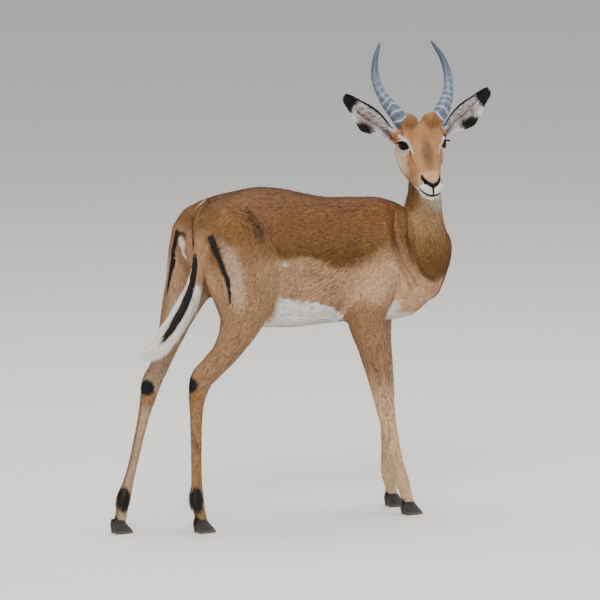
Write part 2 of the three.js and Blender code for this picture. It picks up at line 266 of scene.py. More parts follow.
class Limb:
    """A tube with superellipse sections. Its frames say where a point lies along it and round it."""

    def __init__(self, rows, up, place=draft_to_row, depth=COAT_DEPTH, caps=(0, 0), widths=None):
        full = np.array([row if len(row) == 7 else [*row, ELLIPSE] for row in rows], float)
        if widths:
            full[:, 3] *= widths
        line = dense(full, RING_STEPS)
        self.centre = place(line[:, :3])
        self.radii = line[:, 3:6] * MM - depth
        self.fullness = line[:, 6]
        self.along = unit(np.gradient(self.centre, axis=0))
        self.side = unit(np.cross(self.along, up))
        self.lift = np.cross(self.side, self.along)
        steps = np.linalg.norm(np.diff(self.centre, axis=0), axis=1)
        self.reach = np.concatenate([[0], np.cumsum(steps)])
        self.caps = np.array(caps) * MM

    def ring(self, i, scale, shift):
        angle = np.arange(RING_SIDES) * 2 * np.pi / RING_SIDES
        power = 2 / self.fullness[i]
        across = np.sign(np.cos(angle)) * np.abs(np.cos(angle)) ** power * scale
        rise = np.sign(np.sin(angle)) * np.abs(np.sin(angle)) ** power * scale
        height = rise * np.where(rise > 0, self.radii[i, 1], self.radii[i, 2])
        spread = np.outer(across * self.radii[i, 0], self.side[i]) + np.outer(height, self.lift[i])
        return self.centre[i] + spread + self.along[i] * shift

    def mesh(self):
        """Closed mesh of the tube, with round caps: points, quads and the triangles at its poles."""
        last = len(self.centre) - 1
        turns = [math.pi / 2 * k / (CAP_STEPS + 1) for k in range(1, CAP_STEPS + 1)]
        rings = [self.ring(0, math.cos(a), -self.caps[0] * math.sin(a)) for a in reversed(turns)]
        rings += [self.ring(i, 1, 0) for i in range(last + 1)]
        rings += [self.ring(last, math.cos(a), self.caps[1] * math.sin(a)) for a in turns]
        start = self.centre[0] - self.along[0] * self.caps[0]
        return skin_rings(rings, start, self.centre[last] + self.along[last] * self.caps[1])

    def locate(self, points):
        """Nearest frame, length along the limb, offsets to the side and up, and distance outside."""
        near = np.empty(len(points), int)
        square = (self.centre**2).sum(1)
        for start in range(0, len(points), LOCATE_BATCH):
            part = slice(start, start + LOCATE_BATCH)
            near[part] = np.argmin(square - 2 * points[part] @ self.centre.T, axis=1)
        offset = points - self.centre[near]
        axial = (offset * self.along[near]).sum(1)
        across = (offset * self.side[near]).sum(1)
        height = (offset * self.lift[near]).sum(1)
        radii = self.radii[near]
        tall = np.where(height > 0, radii[:, 1], radii[:, 2])
        power = self.fullness[near]
        ratio = (np.abs(across / radii[:, 0]) ** power + np.abs(height / tall) ** power) ** (1 / power)
        outside = (ratio - 1) * np.minimum(radii[:, 0], tall)
        last = len(self.centre) - 1
        past = np.where(near == last, axial - self.caps[1], 0)
        ends = np.where(near == 0, -axial - self.caps[0], past)
        outside = np.where(ends > 0, np.hypot(np.maximum(outside, 0), ends), outside)
        reach = self.reach[near] + axial
        return {"near": near, "reach": reach, "across": across, "height": height, "outside": outside}


def skin_rings(rings, first, last):
    count = len(rings[0])
    points = np.vstack([*rings, first, last])
    k = np.arange(count)
    after = (k + 1) % count
    quads = []
    for ring in range(len(rings) - 1):
        here, there = ring * count, (ring + 1) * count
        quads.append(np.stack([here + k, here + after, there + after, there + k], 1))
    base = (len(rings) - 1) * count
    start, end = np.full(count, len(points) - 2), np.full(count, len(points) - 1)
    fans = [np.stack([start, after, k], 1), np.stack([end, base + k, base + after], 1)]
    return points, np.vstack(quads), np.vstack(fans)


LEG_DEPTH = 2 * MM
TAIL_DEPTH = 4.5 * MM
LIMBS = {
    "trunk": Limb(TRUNK, Z_AXIS, caps=(12, 24)),
    "neck": Limb(NECK, X_AXIS, caps=(30, 20)),
    **{name: Limb(rows, X_AXIS, depth=LEG_DEPTH, caps=(24, 4)) for name, rows in LEGS.items()},
    "tail": Limb(TAIL, TAIL_FACE, depth=TAIL_DEPTH, caps=(8, 8), widths=TAIL_CORE),
    "head": Limb(SKULL, HEAD_TURN[:, 2], place=skull_to_row, depth=FACE_DEPTH, caps=(10, 8)),
}
LIMB_NAMES = [*LIMBS, "ear_left", "ear_right"]

# ---- Ears ----

EAR_LENGTH = 184 * MM
EAR_WALL = 3.2 * MM
EAR_LEAF = [
    [0, 12, 8, 22],
    [0.14, 13, 14, 20.5],
    [0.3, 22, 22, 17],
    [0.44, 30, 24, 17.5],
    [0.54, 33, 23, 18],
    [0.64, 29, 20, 14],
    [0.76, 22, 15, 9],
    [0.88, 16.5, 8, 4],
    [0.96, 12, 5, 1.5],
    [1, 6.5, 2, 0],
]
EAR_BASE = [-44, 42, -4]
EAR_TIP_WAY = [-0.39, 0.84, 0.38]
EAR_OPENING = [0.67, 0.06, 0.71]


class Ear:
    """A cupped leaf. Rows of its leaf: share of the length, half width, depth of the cup and droop."""

    def __init__(self, side):
        self.turned = side
        self.base = head_to_row(both_sides(EAR_BASE, side) * MM)
        self.along = unit(HEAD_TURN @ both_sides(EAR_TIP_WAY, side))
        facing = HEAD_TURN @ both_sides(EAR_OPENING, side)
        self.facing = unit(facing - self.along * facing.dot(self.along))
        self.lateral = np.cross(self.along, self.facing)
        self.leaf = dense(EAR_LEAF, 6) * [1, MM, MM, MM]

    def mesh(self):
        columns = np.linspace(-1, 1, 25)
        rings = []
        for share, half, cup, droop in self.leaf:
            half = max(half - 0.8 * MM, 1.5 * MM)
            spot = self.base + self.along * share * EAR_LENGTH * 0.995
            bow = 1 - columns**2
            drift = droop * self.turned
            inner = spot + np.outer(half * columns + drift, self.lateral)
            inner -= np.outer(cup * bow + 0.4 * MM, self.facing)
            wide = (half + EAR_WALL) * columns + drift
            outer = spot + np.outer(wide, self.lateral) - np.outer((cup + EAR_WALL) * bow, self.facing)
            rings.append(np.vstack([inner, outer[::-1]]))
        depth = self.leaf[:, 2] + EAR_WALL / 2
        root = self.base + self.lateral * self.leaf[0, 3] * self.turned - self.facing * depth[0]
        tip = self.base + self.along * EAR_LENGTH - self.facing * depth[-1]
        return skin_rings(rings, root, tip)

    def locate(self, points):
        """Share of the length, offset across as a share of the half width, and height over the leaf."""
        offset = points - self.base
        share = offset @ self.along / EAR_LENGTH
        at = np.clip(share, 0, 1)
        half, cup, droop = [np.interp(at, self.leaf[:, 0], self.leaf[:, k]) for k in (1, 2, 3)]
        across = offset @ self.lateral - droop * self.turned
        ratio = across / half
        over = offset @ self.facing + cup * (1 - np.clip(ratio, -1, 1) ** 2) + EAR_WALL / 2
        past = np.maximum(np.abs(across) - half - EAR_WALL, 0)
        beyond = np.maximum(0.1 - share, 0) * 3 * EAR_LENGTH + np.maximum(share - 1, 0) * EAR_LENGTH
        outside = np.abs(over) - EAR_WALL / 2 + past + beyond
        reach = share * EAR_LENGTH
        return {"reach": reach, "across": across, "height": over, "outside": outside, "ratio": ratio}


EARS = {"ear_left": Ear(1), "ear_right": Ear(-1)}
SHAPES = {**LIMBS, **EARS}

# ---- Clay: blocks of signed distance, in which forms are added and carved ----


def soft_min(a, b, soft):
    near = np.maximum(soft - np.abs(a - b), 0) / soft
    return np.minimum(a, b) - near * near * soft / 4


class Clay:
    def __init__(self, low, high, cell):
        self.low = np.array(low, float)
        self.cell = cell
        self.far = BAND * cell
        shape = np.ceil((np.array(high) - low) / cell).astype(int) + 1
        self.field = np.full(shape, self.far, np.float32)

    def window(self, low, high):
        first = np.clip(np.floor((low - self.low) / self.cell).astype(int), 0, self.field.shape)
        last = np.clip(np.ceil((high - self.low) / self.cell).astype(int) + 1, 0, self.field.shape)
        return first, last

    def of_mesh(self, mesh):
        """Signed distance to a closed mesh over the block, kept within the band."""
        points, quads, triangles = mesh
        grid = openvdb.FloatGrid.createLevelSetFromPolygons(
            np.ascontiguousarray((points - self.low) / self.cell, np.float32),
            triangles=np.ascontiguousarray(triangles, np.uint32),
            quads=np.ascontiguousarray(quads, np.uint32),
            halfWidth=BAND,
        )
        found = np.empty(self.field.shape, np.float32)
        grid.copyToArray(found)
        return found * self.cell

    def shape(self, points, radii, soft, carve=False, squash=None):
        """Adds or carves a chain of balls; squash scales its distances along each axis."""
        points = np.atleast_2d(np.array(points, float))
        radii = np.broadcast_to(np.array(radii, float), len(points))
        room = radii.max() * (1 if squash is None else max(squash)) + soft + 3 * self.cell
        first, last = self.window(points.min(0) - room, points.max(0) + room)
        if (last <= first).any():
            return
        box = tuple(slice(a, b) for a, b in zip(first, last))
        axes = [self.low[k] + self.cell * np.arange(first[k], last[k]) for k in range(3)]
        spots = np.stack(np.meshgrid(*axes, indexing="ij"), -1)
        away = np.full(spots.shape[:3], 1e3)
        scale = np.ones(3) if squash is None else np.array(squash, float)
        if len(points) == 1:
            points, radii = np.repeat(points, 2, 0), np.repeat(radii, 2)
        for a, b, wide, narrow in zip(points[:-1], points[1:], radii[:-1], radii[1:]):
            way = (b - a) / scale
            t = np.clip(((spots - a) / scale) @ way / max(way @ way, 1e-12), 0, 1)
            gap = np.linalg.norm((spots - a) / scale - t[..., None] * way, axis=-1)
            away = np.minimum(away, gap - wide - t * (narrow - wide))
        away *= scale.min()
        here = self.field[box]
        self.field[box] = -soft_min(-here, away, soft) if carve else soft_min(here, away, soft)

    def surface(self):
        grid = openvdb.FloatGrid(self.far / self.cell)
        grid.copyFromArray(np.ascontiguousarray(self.field / self.cell))
        points, quads = grid.convertToQuads(isovalue=0.0)
        points = points.astype(float) * self.cell + self.low
        a, b, c, d = [points[quads[:, k]] for k in range(4)]
        volume = ((a * np.cross(b, c)).sum() + (a * np.cross(c, d)).sum()) / 6
        return points, quads[:, ::-1].astype(int) if volume < 0 else quads.astype(int)


def relax(points, quads, rounds, keep=0.5):
    """Evens out a mesh by moving each point towards the mean of its neighbours."""
    count = len(points)
    ends = np.concatenate([quads[:, [k, (k + 1) % 4]] for k in range(4)])
    degree = np.bincount(ends[:, 0], minlength=count) + np.bincount(ends[:, 1], minlength=count)
    for _ in range(rounds):
        mean = np.empty_like(points)
        for k in range(3):
            total = np.bincount(ends[:, 0], points[ends[:, 1], k], count)
            total += np.bincount(ends[:, 1], points[ends[:, 0], k], count)
            mean[:, k] = total / np.maximum(degree, 1)
        points = keep * points + (1 - keep) * mean
    return points


# ---- The skin of the body ----

TORSO_BLEND = 14 * MM
LEG_BLEND = 28 * MM
LEG_GAP_BLEND = 3 * MM
TAIL_BLEND = 6 * MM


def body_skin():
    clay = Clay([-0.53, -0.175, -0.012], [0.5, 0.19, 0.92], BODY_CELL)
    trunk, neck, tail = [clay.of_mesh(LIMBS[name].mesh()) for name in ("trunk", "neck", "tail")]
    torso = soft_min(trunk, neck, TORSO_BLEND)
    clay.field = torso
    for name in LEGS:
        with_leg = soft_min(torso, clay.of_mesh(LIMBS[name].mesh()), LEG_BLEND)
        clay.field = soft_min(clay.field, with_leg, LEG_GAP_BLEND)
    clay.field = soft_min(clay.field, tail, TAIL_BLEND)
    points, quads = clay.surface()
    return relax(points, quads, 3), quads


# ---- The skin of the head, modelled in the head's own frame ----

EYE = np.array([3, 45, 3]) * MM
EYE_RADIUS = 17.5 * MM
GAZE = unit(np.array([0.5, 0.8, 0.33]))
EYE_LONG = np.array([0.78, -0.46, 0.41])  # from the outer to the inner corner of the lids
EYE_LONG = unit(EYE_LONG - GAZE * (EYE_LONG @ GAZE))
EYE_HIGH = np.cross(EYE_LONG, GAZE) * math.copysign(1, np.cross(EYE_LONG, GAZE)[2])
LID = 2.4 * MM
UPPER_LID, LOWER_LID, HALF_LID, LID_SHIFT = 9.5, 8, 18.5, 1.5


def shape_mm(clay, points, radii, soft, **options):
    clay.shape(np.array(points, float) * MM, np.array(radii, float) * MM, soft * MM, **options)


def mirror_shape(clay, points, radii, soft, **options):
    for side in SIDES:
        shape_mm(clay, [both_sides(p, side) for p in points], radii, soft, **options)


def lid_arch(s):
    return np.maximum(1 - ((s - LID_SHIFT) / HALF_LID) ** 2, -1)


def lid_distance(offset):
    """Distance in millimetres outside the almond between the lids, for offsets from a left eye's centre."""
    arch = lid_arch(offset @ EYE_LONG)
    high = offset @ EYE_HIGH
    away = np.maximum(high - UPPER_LID * arch, -high - LOWER_LID * arch)
    return np.where(offset @ GAZE > 2, away * 0.8, 10)


def carve_eyes(clay):
    """Lids over each eye, opened along an almond, with the eyeball's room taken out."""
    for side in SIDES:
        centre = both_sides(EYE, side)
        clay.shape([centre], [EYE_RADIUS + LID], 5 * MM)
        room = EYE_RADIUS + 8 * MM  # the lids reach no further
        first, last = clay.window(centre - room, centre + room)
        box = tuple(slice(a, b) for a, b in zip(first, last))
        axes = [clay.low[k] + clay.cell * np.arange(first[k], last[k]) for k in range(3)]
        offset = (np.stack(np.meshgrid(*axes, indexing="ij"), -1) - centre) * [1, side, 1]
        slit = lid_distance(offset / MM) * MM
        ball = np.linalg.norm(offset, axis=-1) - EYE_RADIUS - 0.2 * MM
        clay.field[box] = -soft_min(-clay.field[box], slit, 1.5 * MM)
        clay.field[box] = np.maximum(clay.field[box], -ball)


def in_head(shape):
    points, quads, triangles = shape.mesh()
    return row_to_head(points), quads, triangles


HEAD_BLEND = 16 * MM
CROWN_NOTCH = [[-96, 0, 0], [-80, 0, 9], [-66, 0, 22], [-50, 0, 38], [-36, 0, 44]]
NOSTRIL = [[100, 23, -10], [110, 22.5, -12], [119, 14.5, -14.5], [129, 5, -17]]
MOUTH = [[105, 35, -38], [115, 33.5, -34], [125, 32, -33], [137, 25, -31], [146, 13.5, -33], [149.5, 0, -34]]


def head_skin():
    clay = Clay([-0.155, -0.235, -0.262], [0.165, 0.235, 0.12], HEAD_CELL)
    skull, neck = [clay.of_mesh(in_head(LIMBS[name])) for name in ("head", "neck")]
    clay.field = soft_min(skull, neck, HEAD_BLEND)
    # orbits, brows, cheek bones, cheeks and jaw
    mirror_shape(clay, [[1, 41, 3]], [18.5], 6, squash=[1.35, 1, 1])
    mirror_shape(clay, [[-34, 40, 18], [-12, 43, 20], [14, 40, 17]], [9, 8, 6], 10)
    mirror_shape(clay, [[-20, 53, -16], [8, 52, -19], [40, 43, -26]], [6, 6, 4], 12)
    mirror_shape(clay, [[-20, 34, -58], [20, 29, -66], [60, 24, -64], [100, 16, -58]], [22, 20, 13, 8], 12)
    # hollow in front of each eye, and sides of the nose
    mirror_shape(clay, [[38, 51, -4], [60, 43, -14]], [6, 5], 9, carve=True)
    # crown tufts in front of the horns, the horns' footing, and the notch between them
    mirror_shape(clay, [[-50, 31, 24]], [20.3], 6, squash=[1, 1.2, 1.22])
    mirror_shape(clay, [[-44, 31, 8], [-53, 41, 20]], [20.5, 19.2], 5)
    shape_mm(clay, CROWN_NOTCH, [24, 16, 12, 10.5, 5], 7, carve=True)
    # root of each ear
    mirror_shape(clay, [[-44, 38, -8], [-46, 56, -6], [-50, 72, -4]], [20, 16, 12], 9)
    for ear in EARS.values():
        clay.field = soft_min(clay.field, clay.of_mesh(in_head(ear)), 3.5 * MM)
    # muzzle: pads of the upper lip, nose and chin
    mirror_shape(clay, [[112, 20, -29], [131, 15, -27]], [13, 11], 7)
    mirror_shape(clay, [[108, 14, -12], [126, 8, -12]], [8, 7], 6)
    shape_mm(clay, [[108, 0, -52], [133, 0, -48]], [14, 11], 6)
    mirror_shape(clay, NOSTRIL, [1.8, 3.2, 3.6, 2.4], 2, carve=True)
    mirror_shape(clay, [[122, 18, -15], [112, 12, -22]], [4, 4], 2, carve=True)
    mirror_shape(clay, MOUTH, [1, 1.4, 1.8, 2.2, 2.4, 2.4], 2.5, carve=True)
    shape_mm(clay, [[141, 0, -20], [148, 0, -26], [150, 0, -34]], 0.9, 3, carve=True)
    carve_eyes(clay)
    points, quads = clay.surface()
    return head_to_row(relax(points, quads, 1, 0.6)), quads


# ---- Sewing the two skins together at the neck ----


def cut_at_neck(points, quads, height, keep_below):
    """Bisects a skin level across the neck and keeps one side."""
    mesh = bmesh.new()
    made = [mesh.verts.new(p) for p in points]
    for face in quads:
        mesh.faces.new([made[k] for k in face])
    near_neck = mesh.verts[:]
    if keep_below:
        near_neck = [v for v in near_neck if v.co.z > height - CUT_ZONE and v.co.x > NECK_BACK]
    faces = {f for v in near_neck for f in v.link_faces}
    edges = {e for f in faces for e in f.edges}
    corners = {v for f in faces for v in f.verts}
    bmesh.ops.bisect_plane(
        mesh,
        geom=[*corners, *edges, *faces],
        plane_co=(0, 0, height),
        plane_no=(0, 0, 1),
        clear_outer=keep_below,
        clear_inner=not keep_below,
        dist=1e-5,
    )
    return mesh


def rim_of(mesh, height):
    rim = {v for e in mesh.edges if e.is_boundary for v in e.verts}
    rim = [v for v in rim if abs(v.co.z - height) < 1e-4 and v.co.x > NECK_BACK]
    centre = Vector(np.mean([v.co for v in rim], axis=0))
    return sorted(rim, key=lambda v: math.atan2(v.co.y - centre.y, v.co.x - centre.x)), centre


def angles_round(rim, centre):
    """Angles of a rim's points about the centre, with the first again a turn later."""
    found = [math.atan2(v.co.y - centre.y, v.co.x - centre.x) for v in rim]
    return [*found, found[0] + 2 * math.pi]


def sew(lower, upper):
    """Joins two skins with open rims into one mesh, by a ring of triangles between the rims."""
    low_rim, centre = rim_of(lower, NECK_CUT - SEWN_GAP)
    high_rim, _ = rim_of(upper, NECK_CUT + SEWN_GAP)
    points = [np.array([v.co for v in m.verts]) for m in (lower, upper)]
    faces = []
    for m, start in ((lower, 0), (upper, len(points[0]))):
        m.verts.index_update()
        faces += [[v.index + start for v in f.verts] for f in m.faces]
    low = [v.index for v in low_rim]
    high = [v.index + len(points[0]) for v in high_rim]
    low_angles, high_angles = [angles_round(rim, centre) for rim in (low_rim, high_rim)]
    i = j = 0
    while i < len(low) or j < len(high):
        step_low = j == len(high) or (i < len(low) and low_angles[i + 1] < high_angles[j + 1])
        a, b = low[i % len(low)], high[j % len(high)]
        if step_low:
            i += 1
            faces.append([a, low[i % len(low)], b])
        else:
            j += 1
            faces.append([a, high[j % len(high)], b])
    return np.vstack(points), faces


# ---- Where each point of the skin lies ----


def locate_all(points):
    """For each point, its limb, its place on that limb, and the flow of the limbs near it."""
    count = len(points)
    best = np.full(count, 1e3)
    label = np.zeros(count, int)
    place = {key: np.zeros(count) for key in ("reach", "across", "height")}
    flow = np.zeros((count, 3))
    weights = np.zeros(count)
    for k, (name, shape) in enumerate(SHAPES.items()):
        found = shape.locate(points)
        nearer = found["outside"] < best
        best = np.where(nearer, found["outside"], best)
        label[nearer] = k
        for key, values in place.items():
            values[nearer] = found[key][nearer]
        along = shape.along[found["near"]] if name in LIMBS else np.broadcast_to(shape.along, points.shape)
        weight = np.exp(-np.clip(found["outside"], -0.01, 0.2) / (12 * MM))
        flow += FLOWS.get(name, 1) * along * weight[:, None]
        weights += weight
    return {"label": label, "flow": flow / weights[:, None], **place}


FLOWS = {"trunk": -1, "neck": -1, "head": -1}  # hair lies from head to tail and down the legs


def hair_way(normals, place):
    """Direction in which the hair lies at each point, along the skin."""
    way = place["flow"].copy()
    label = place["label"]
    trunk = label == LIMB_NAMES.index("trunk")
    down = smooth(np.abs(normals[:, 1]), 0.2, 0.9) * 0.45
    way[trunk, 2] -= down[trunk]
    way -= normals * (way * normals).sum(1)[:, None]
    return unit(way)


# ---- Colours, as sRGB, and the markings, painted shade and painted highlights that skin and coat share ----


def colour(red, green, blue):
    value = np.array([red, green, blue]) / 255
    return np.where(value <= 0.04045, value / 12.92, ((value + 0.055) / 1.055) ** 2.4)


SADDLE = colour(118, 80, 44)
SADDLE_TOP = colour(128, 88, 58)
SADDLE_LOW = colour(103, 68, 25)
FLANK = colour(173, 136, 100)
SHOULDER = colour(206, 163, 124)
NECK_TAN = colour(134, 96, 50)
NECK_SIDE = colour(178, 138, 96)
BREAST = colour(114, 76, 32)
RUMP_OCHRE = colour(132, 94, 44)
RUMP = colour(128, 88, 52)
BUTT = colour(192, 146, 108)
THIGH = colour(158, 120, 86)
THROAT = colour(196, 182, 158)
PALE = colour(210, 180, 152)
FORE_TAN = colour(148, 109, 76)
FORE_LOW = colour(204, 168, 129)
SHANK = colour(148, 112, 74)
INNER_LEG = colour(194, 172, 146)
WHITE = colour(240, 235, 228)
BLACK = colour(22, 17, 16)
DARK = colour(66, 44, 30)
OCHRE = colour(150, 100, 48)
FACE = colour(190, 140, 96)
FACE_ORANGE = colour(196, 132, 70)
FOREHEAD = colour(164, 118, 74)
BRIDGE = colour(118, 84, 60)
CHEEK = colour(248, 224, 194)
UNDER_EYE = colour(216, 204, 194)
MUZZLE = colour(204, 160, 124)
EAR_PINK = colour(172, 150, 146)
EAR_WHITE = colour(238, 230, 232)
EAR_BROWN = colour(108, 84, 76)

EDGE_X = [-0.30, -0.25, -0.20, -0.15, -0.10, -0.063, -0.028, 0.003, 0.058, 0.107, 0.161, 0.21, 0.26, 0.33]
EDGE_Z = [0.70, 0.735, 0.73, 0.72, 0.712, 0.711, 0.707, 0.697, 0.676, 0.672, 0.685, 0.705, 0.70, 0.66]
EDGE_SOFT = [0.05, 0.05, 0.05, 0.04, 0.012, 0.008, 0.008, 0.009, 0.012, 0.02, 0.03, 0.04, 0.05, 0.05]
BELLY_X = [-0.25, -0.16, -0.102, -0.051, 0.014, 0.08, 0.116, 0.17, 0.25, 0.29, 0.33, 0.38, 0.42]
BELLY_Z = [0.66, 0.62, 0.603, 0.594, 0.587, 0.556, 0.54, 0.53, 0.548, 0.532, 0.53, 0.535, 0.56]
BREAST_X = [0.30, 0.322, 0.342, 0.356, 0.374, 0.42, 0.45]
BREAST_Z = [0.665, 0.644, 0.626, 0.617, 0.609, 0.625, 0.65]
MIDDLE = -MODEL_CENTRE[1] * MM  # y of the trunk's middle plane
# painted lines in millimetres, with their half widths
RIGHT_STRIPE = (
    [[-291, -62, 776], [-285, -73, 749], [-275, -74, 720], [-268, -78, 697], [-258, -82, 667],
     [-252, -81, 633], [-247, -75, 601]],
    [9.5, 10, 9, 8, 7, 4.5, 1.5],
)
LEFT_STRIPE = (
    [[-314, 76, 768], [-325, 76, 733], [-329, 87, 698], [-336, 95, 664], [-340, 98, 630],
     [-345, 97, 602]],
    [13, 13, 11, 9, 6, 2.5],
)
STRIPE_HOOK = (
    [[-314, 72, 770], [-313, 54, 776], [-314, 36, 770], [-318, 22, 748], [-321, 10, 712]],
    [7, 4.5, 4, 3, 1],
)
RUMP_WHITE = ([[-319, 52, 757], [-322, 36, 730], [-322, 20, 706]], [9, 11, 7])
LEFT_RIM = (
    [[-306, 104, 770], [-314, 106, 733], [-320, 114, 700], [-328, 120, 664], [-334, 120, 625]],
    [6, 10, 10, 8, 4],
)
RIGHT_PALE = (
    [[-272, -77, 768], [-254, -84, 730], [-238, -90, 674], [-234, -90, 630], [-226, -86, 590]],
    [4, 16, 22, 20, 12],
)
# shoulder fold: painted shade along it and a painted highlight on the ridge beside it; the same line is also
# carved as a fold
SHOULDER_FOLD = (
    [[265, -18, 801], [249, -45, 767], [250, -56, 730], [265, -59, 680], [289, -53, 645],
     [321, -43, 605]],
    [3, 6, 7, 6, 5, 3],
)
# painted shade along the crease where the neck meets the shoulder
NECK_CREASE_SHADE = (
    [[324, 25, 808], [314, 3, 790], [301, -26, 768], [295, -42, 737], [300, -50, 698], [316, -49, 657],
     [339, -40, 615]],
    [1, 2, 2, 2.5, 3, 3, 2],
)
# painted shade in the hip's wrinkles
HIP_WRINKLE_SHADES = (
    [[-242, -28, 849], [-222, -46, 842], [-205, -57, 834]],
    [[-205, -52, 838], [-186, -62, 827], [-170, -68, 812]],
    [[-214, -64, 816], [-196, -72, 806], [-182, -74, 801]],
    [[-178, -72, 806], [-166, -74, 790], [-160, -76, 770]],
)
# painted shade in the notch at the front of the chest
CHEST_NOTCH_SHADE = ([[374, -30, 609], [356, -40, 617], [342, -43, 626], [322, -48, 644]], [2, 3.5, 3.5, 2])
HIP_SHADE = (
    [[-183, -61, 829], [-175, -67, 814], [-169, -73, 799], [-166, -78, 781], [-162, -82, 762]],
    [8, 14, 17, 17, 10],
)
FLANK_LOCK = ([[-84, -91, 700], [-94, -91, 696], [-104, -89, 699]], [1, 1.6, 0.6])


def mix(base, paint, share):
    share = np.clip(share, 0, 1)[:, None]
    return base * (1 - share) + paint * share


def streak(points, line, halves, soft):
    """Share of a painted stripe at each point: 1 inside its half width, 0 past the soft edge."""
    line, halves = np.array(line, float), np.array(halves, float)
    best = np.full(len(points), 1e4)
    for a, b, wide, narrow in zip(line[:-1], line[1:], halves[:-1], halves[1:]):
        way = b - a
        t = np.clip((points - a) @ way / (way @ way), 0, 1)
        gap = np.linalg.norm(points - a - t[:, None] * way, axis=1) - wide - t * (narrow - wide)
        best = np.minimum(best, gap)
    return 1 - smooth(best, -soft / 2, soft / 2)


def spot(points, centre, radii, soft=0.35):
    away = np.linalg.norm((points - np.array(centre)) / np.array(radii), axis=1)
    return 1 - smooth(away, 1 - soft, 1 + soft)


def spot_mm(points, centre, radii, soft=0.35):
    return spot(points, centre, np.array(radii) * MM, soft)


def waves(points, size, seed):
    """Cheap smooth noise from -1 to 1, with features of about the given size."""
    source = np.random.default_rng(seed)
    total = np.zeros(len(points))
    for _ in range(6):
        way = unit(source.normal(size=3)) * 2 * np.pi / (size * source.uniform(0.7, 1.6))
        total += np.sin(points @ way + source.uniform(0, 6.3))
    return total / 6**0.5 / 1.2


def paint_body(points, normals):
    x, y, z = points.T
    drift = waves(points, 0.03, 1) * 0.004
    saddle = mix(SADDLE_LOW, SADDLE, smooth(z, 0.70, 0.76))
    saddle = mix(saddle, SADDLE_TOP, smooth(z, 0.78, 0.85))
    saddle = saddle * (1 + 0.3 * smooth(x, 0.1, 0.22))[:, None]
    back_end = smooth(-x, 0.12, 0.2)
    saddle = mix(saddle, RUMP, back_end * 0.7)
    low = mix(FLANK, SHOULDER, smooth(x, 0.05, 0.16))
    low = mix(low, THIGH, back_end)
    edge = np.interp(x, EDGE_X, EDGE_Z)
    soft = np.interp(x, EDGE_X, EDGE_SOFT)
    shade = mix(low, saddle, smooth(z - edge + drift, -soft, soft))
    behind = smooth(-normals[:, 0], 0.5, 0.95) * smooth(-x, 0.22, 0.28) * (1 - smooth(z, 0.76, 0.82))
    shade = mix(shade, BUTT, behind * 0.8)
    belly = np.interp(x, BELLY_X, BELLY_Z)
    inner = smooth(normals[:, 1] * np.sign(MIDDLE - y), 0.1, 0.5)
    under = smooth(-normals[:, 2], 0.75, 0.92)
    hidden = np.maximum(inner, under) * (1 - smooth(-x, 0.17, 0.21))
    shown = 1 - smooth(-x, 0.085, 0.115) * (1 - hidden)
    return mix(shade, WHITE, (1 - smooth(z - belly + drift, -0.004, 0.005)) * shown)


def paint_neck(points, normals):
    z = points[:, 2]
    beside = smooth(np.abs(normals[:, 1]), 0.35, 0.85) * smooth(z, 0.70, 0.78)
    tone = mix(NECK_TAN, NECK_SIDE, beside)
    tone = mix(tone, SADDLE_TOP, smooth(-normals[:, 0], 0.2, 0.9) * 0.2)
    tone = mix(tone, BREAST, 1 - smooth(z, 0.64, 0.74))
    tone = mix(tone, THROAT, spot(points, [0.392, -0.004, 0.83], [0.035, 0.03, 0.03], 0.6) * 0.8)
    return mix(tone, SHOULDER, (1 - smooth(z, 0.53, 0.585)) * 0.5)


def paint_leg(points, normals, name):
    z = points[:, 2]
    outward = normals[:, 1] * (1 if name.endswith("left") else -1)
    fore = name.startswith("fore")
    if fore:
        tone = mix(FORE_LOW, FORE_TAN, smooth(z, 0.27, 0.42))
    else:
        tone = mix(SHANK, THIGH, smooth(z, 0.3, 0.42))
    tone = mix(tone, PALE, smooth(normals[:, 0], 0.35, 0.95) * 0.25)
    inner = smooth(-outward, 0.3, 0.8) * (1 - smooth(z, 0.62, 0.7)) * (0.15 if fore else 0.55)
    tone = mix(tone, INNER_LEG, inner)
    rows = LEGS[name]
    if fore:
        tone = mix(tone, SADDLE, smooth(-normals[:, 0], 0.3, 0.9) * 0.35 * smooth(z, 0.3, 0.45))
        return mix(tone, BLACK, spot_mm(points, at_row(rows, -1, [-16, 0, 0]), [9, 11, 17]))
    hock = np.array(LEFT_HOCK) * MM if name == "hind_left" else at_row(rows, 8, [-34, 0, -2])
    below = hock + np.array([8, 0, -28]) * MM
    tone = mix(tone, OCHRE, spot_mm(points, below, [22, 16, 24], 0.6) * 0.8)
    tone = mix(tone, BLACK, spot_mm(points, hock, [23, 19, 21], 0.2))
    for side in SIDES:
        tone = mix(tone, BLACK, spot_mm(points, at_row(rows, 13, [-9, 13 * side, 2]), [15, 13, 29], 0.25))
    return mix(tone, BLACK, spot_mm(points, at_row(rows, 15, [-17, 0, -2]), [14, 15, 20]))


LEFT_HOCK = [-416, 66, 378]
TAIL_LINE = np.array(  # height, offset and half width of the black line on the tail's outer face
    [
        *([506, 2.5, 0], [521, 2, 5], [546, 0, 8.5], [585, 0, 9.5], [624, -1, 9]),
        *([664, -6.4, 9.5], [706, -8.5, 10.5], [740, -9, 8], [748, -9, 7], [760, -11, 5]),
        *([772, -13, 3], [786, -13, 2], [813, -9, 1.8], [834, -3, 1.6], [850, 0, 1.6]),
    ]
) * MM


def tail_colours(points, across):
    """Colour without the line, and distance from the line's middle less its half width."""
    z = points[:, 2]
    offset = across - np.interp(z, TAIL_LINE[:, 0], TAIL_LINE[:, 1])
    half = np.interp(z, TAIL_LINE[:, 0], TAIL_LINE[:, 2], left=-0.004)
    tan = mix(BUTT, RUMP, smooth(z, 0.72, 0.80) * (offset > 0))
    tan = mix(tan, DARK, smooth(waves(points * [1, 1, 0.12], 0.006, 31), 0.2, 0.9) * 0.45 * (offset > 0))
    white_above = np.where(offset > 0, smooth(z, 0.625, 0.665), smooth(z, 0.68, 0.715))
    return mix(WHITE, tan, white_above), np.abs(offset) - half


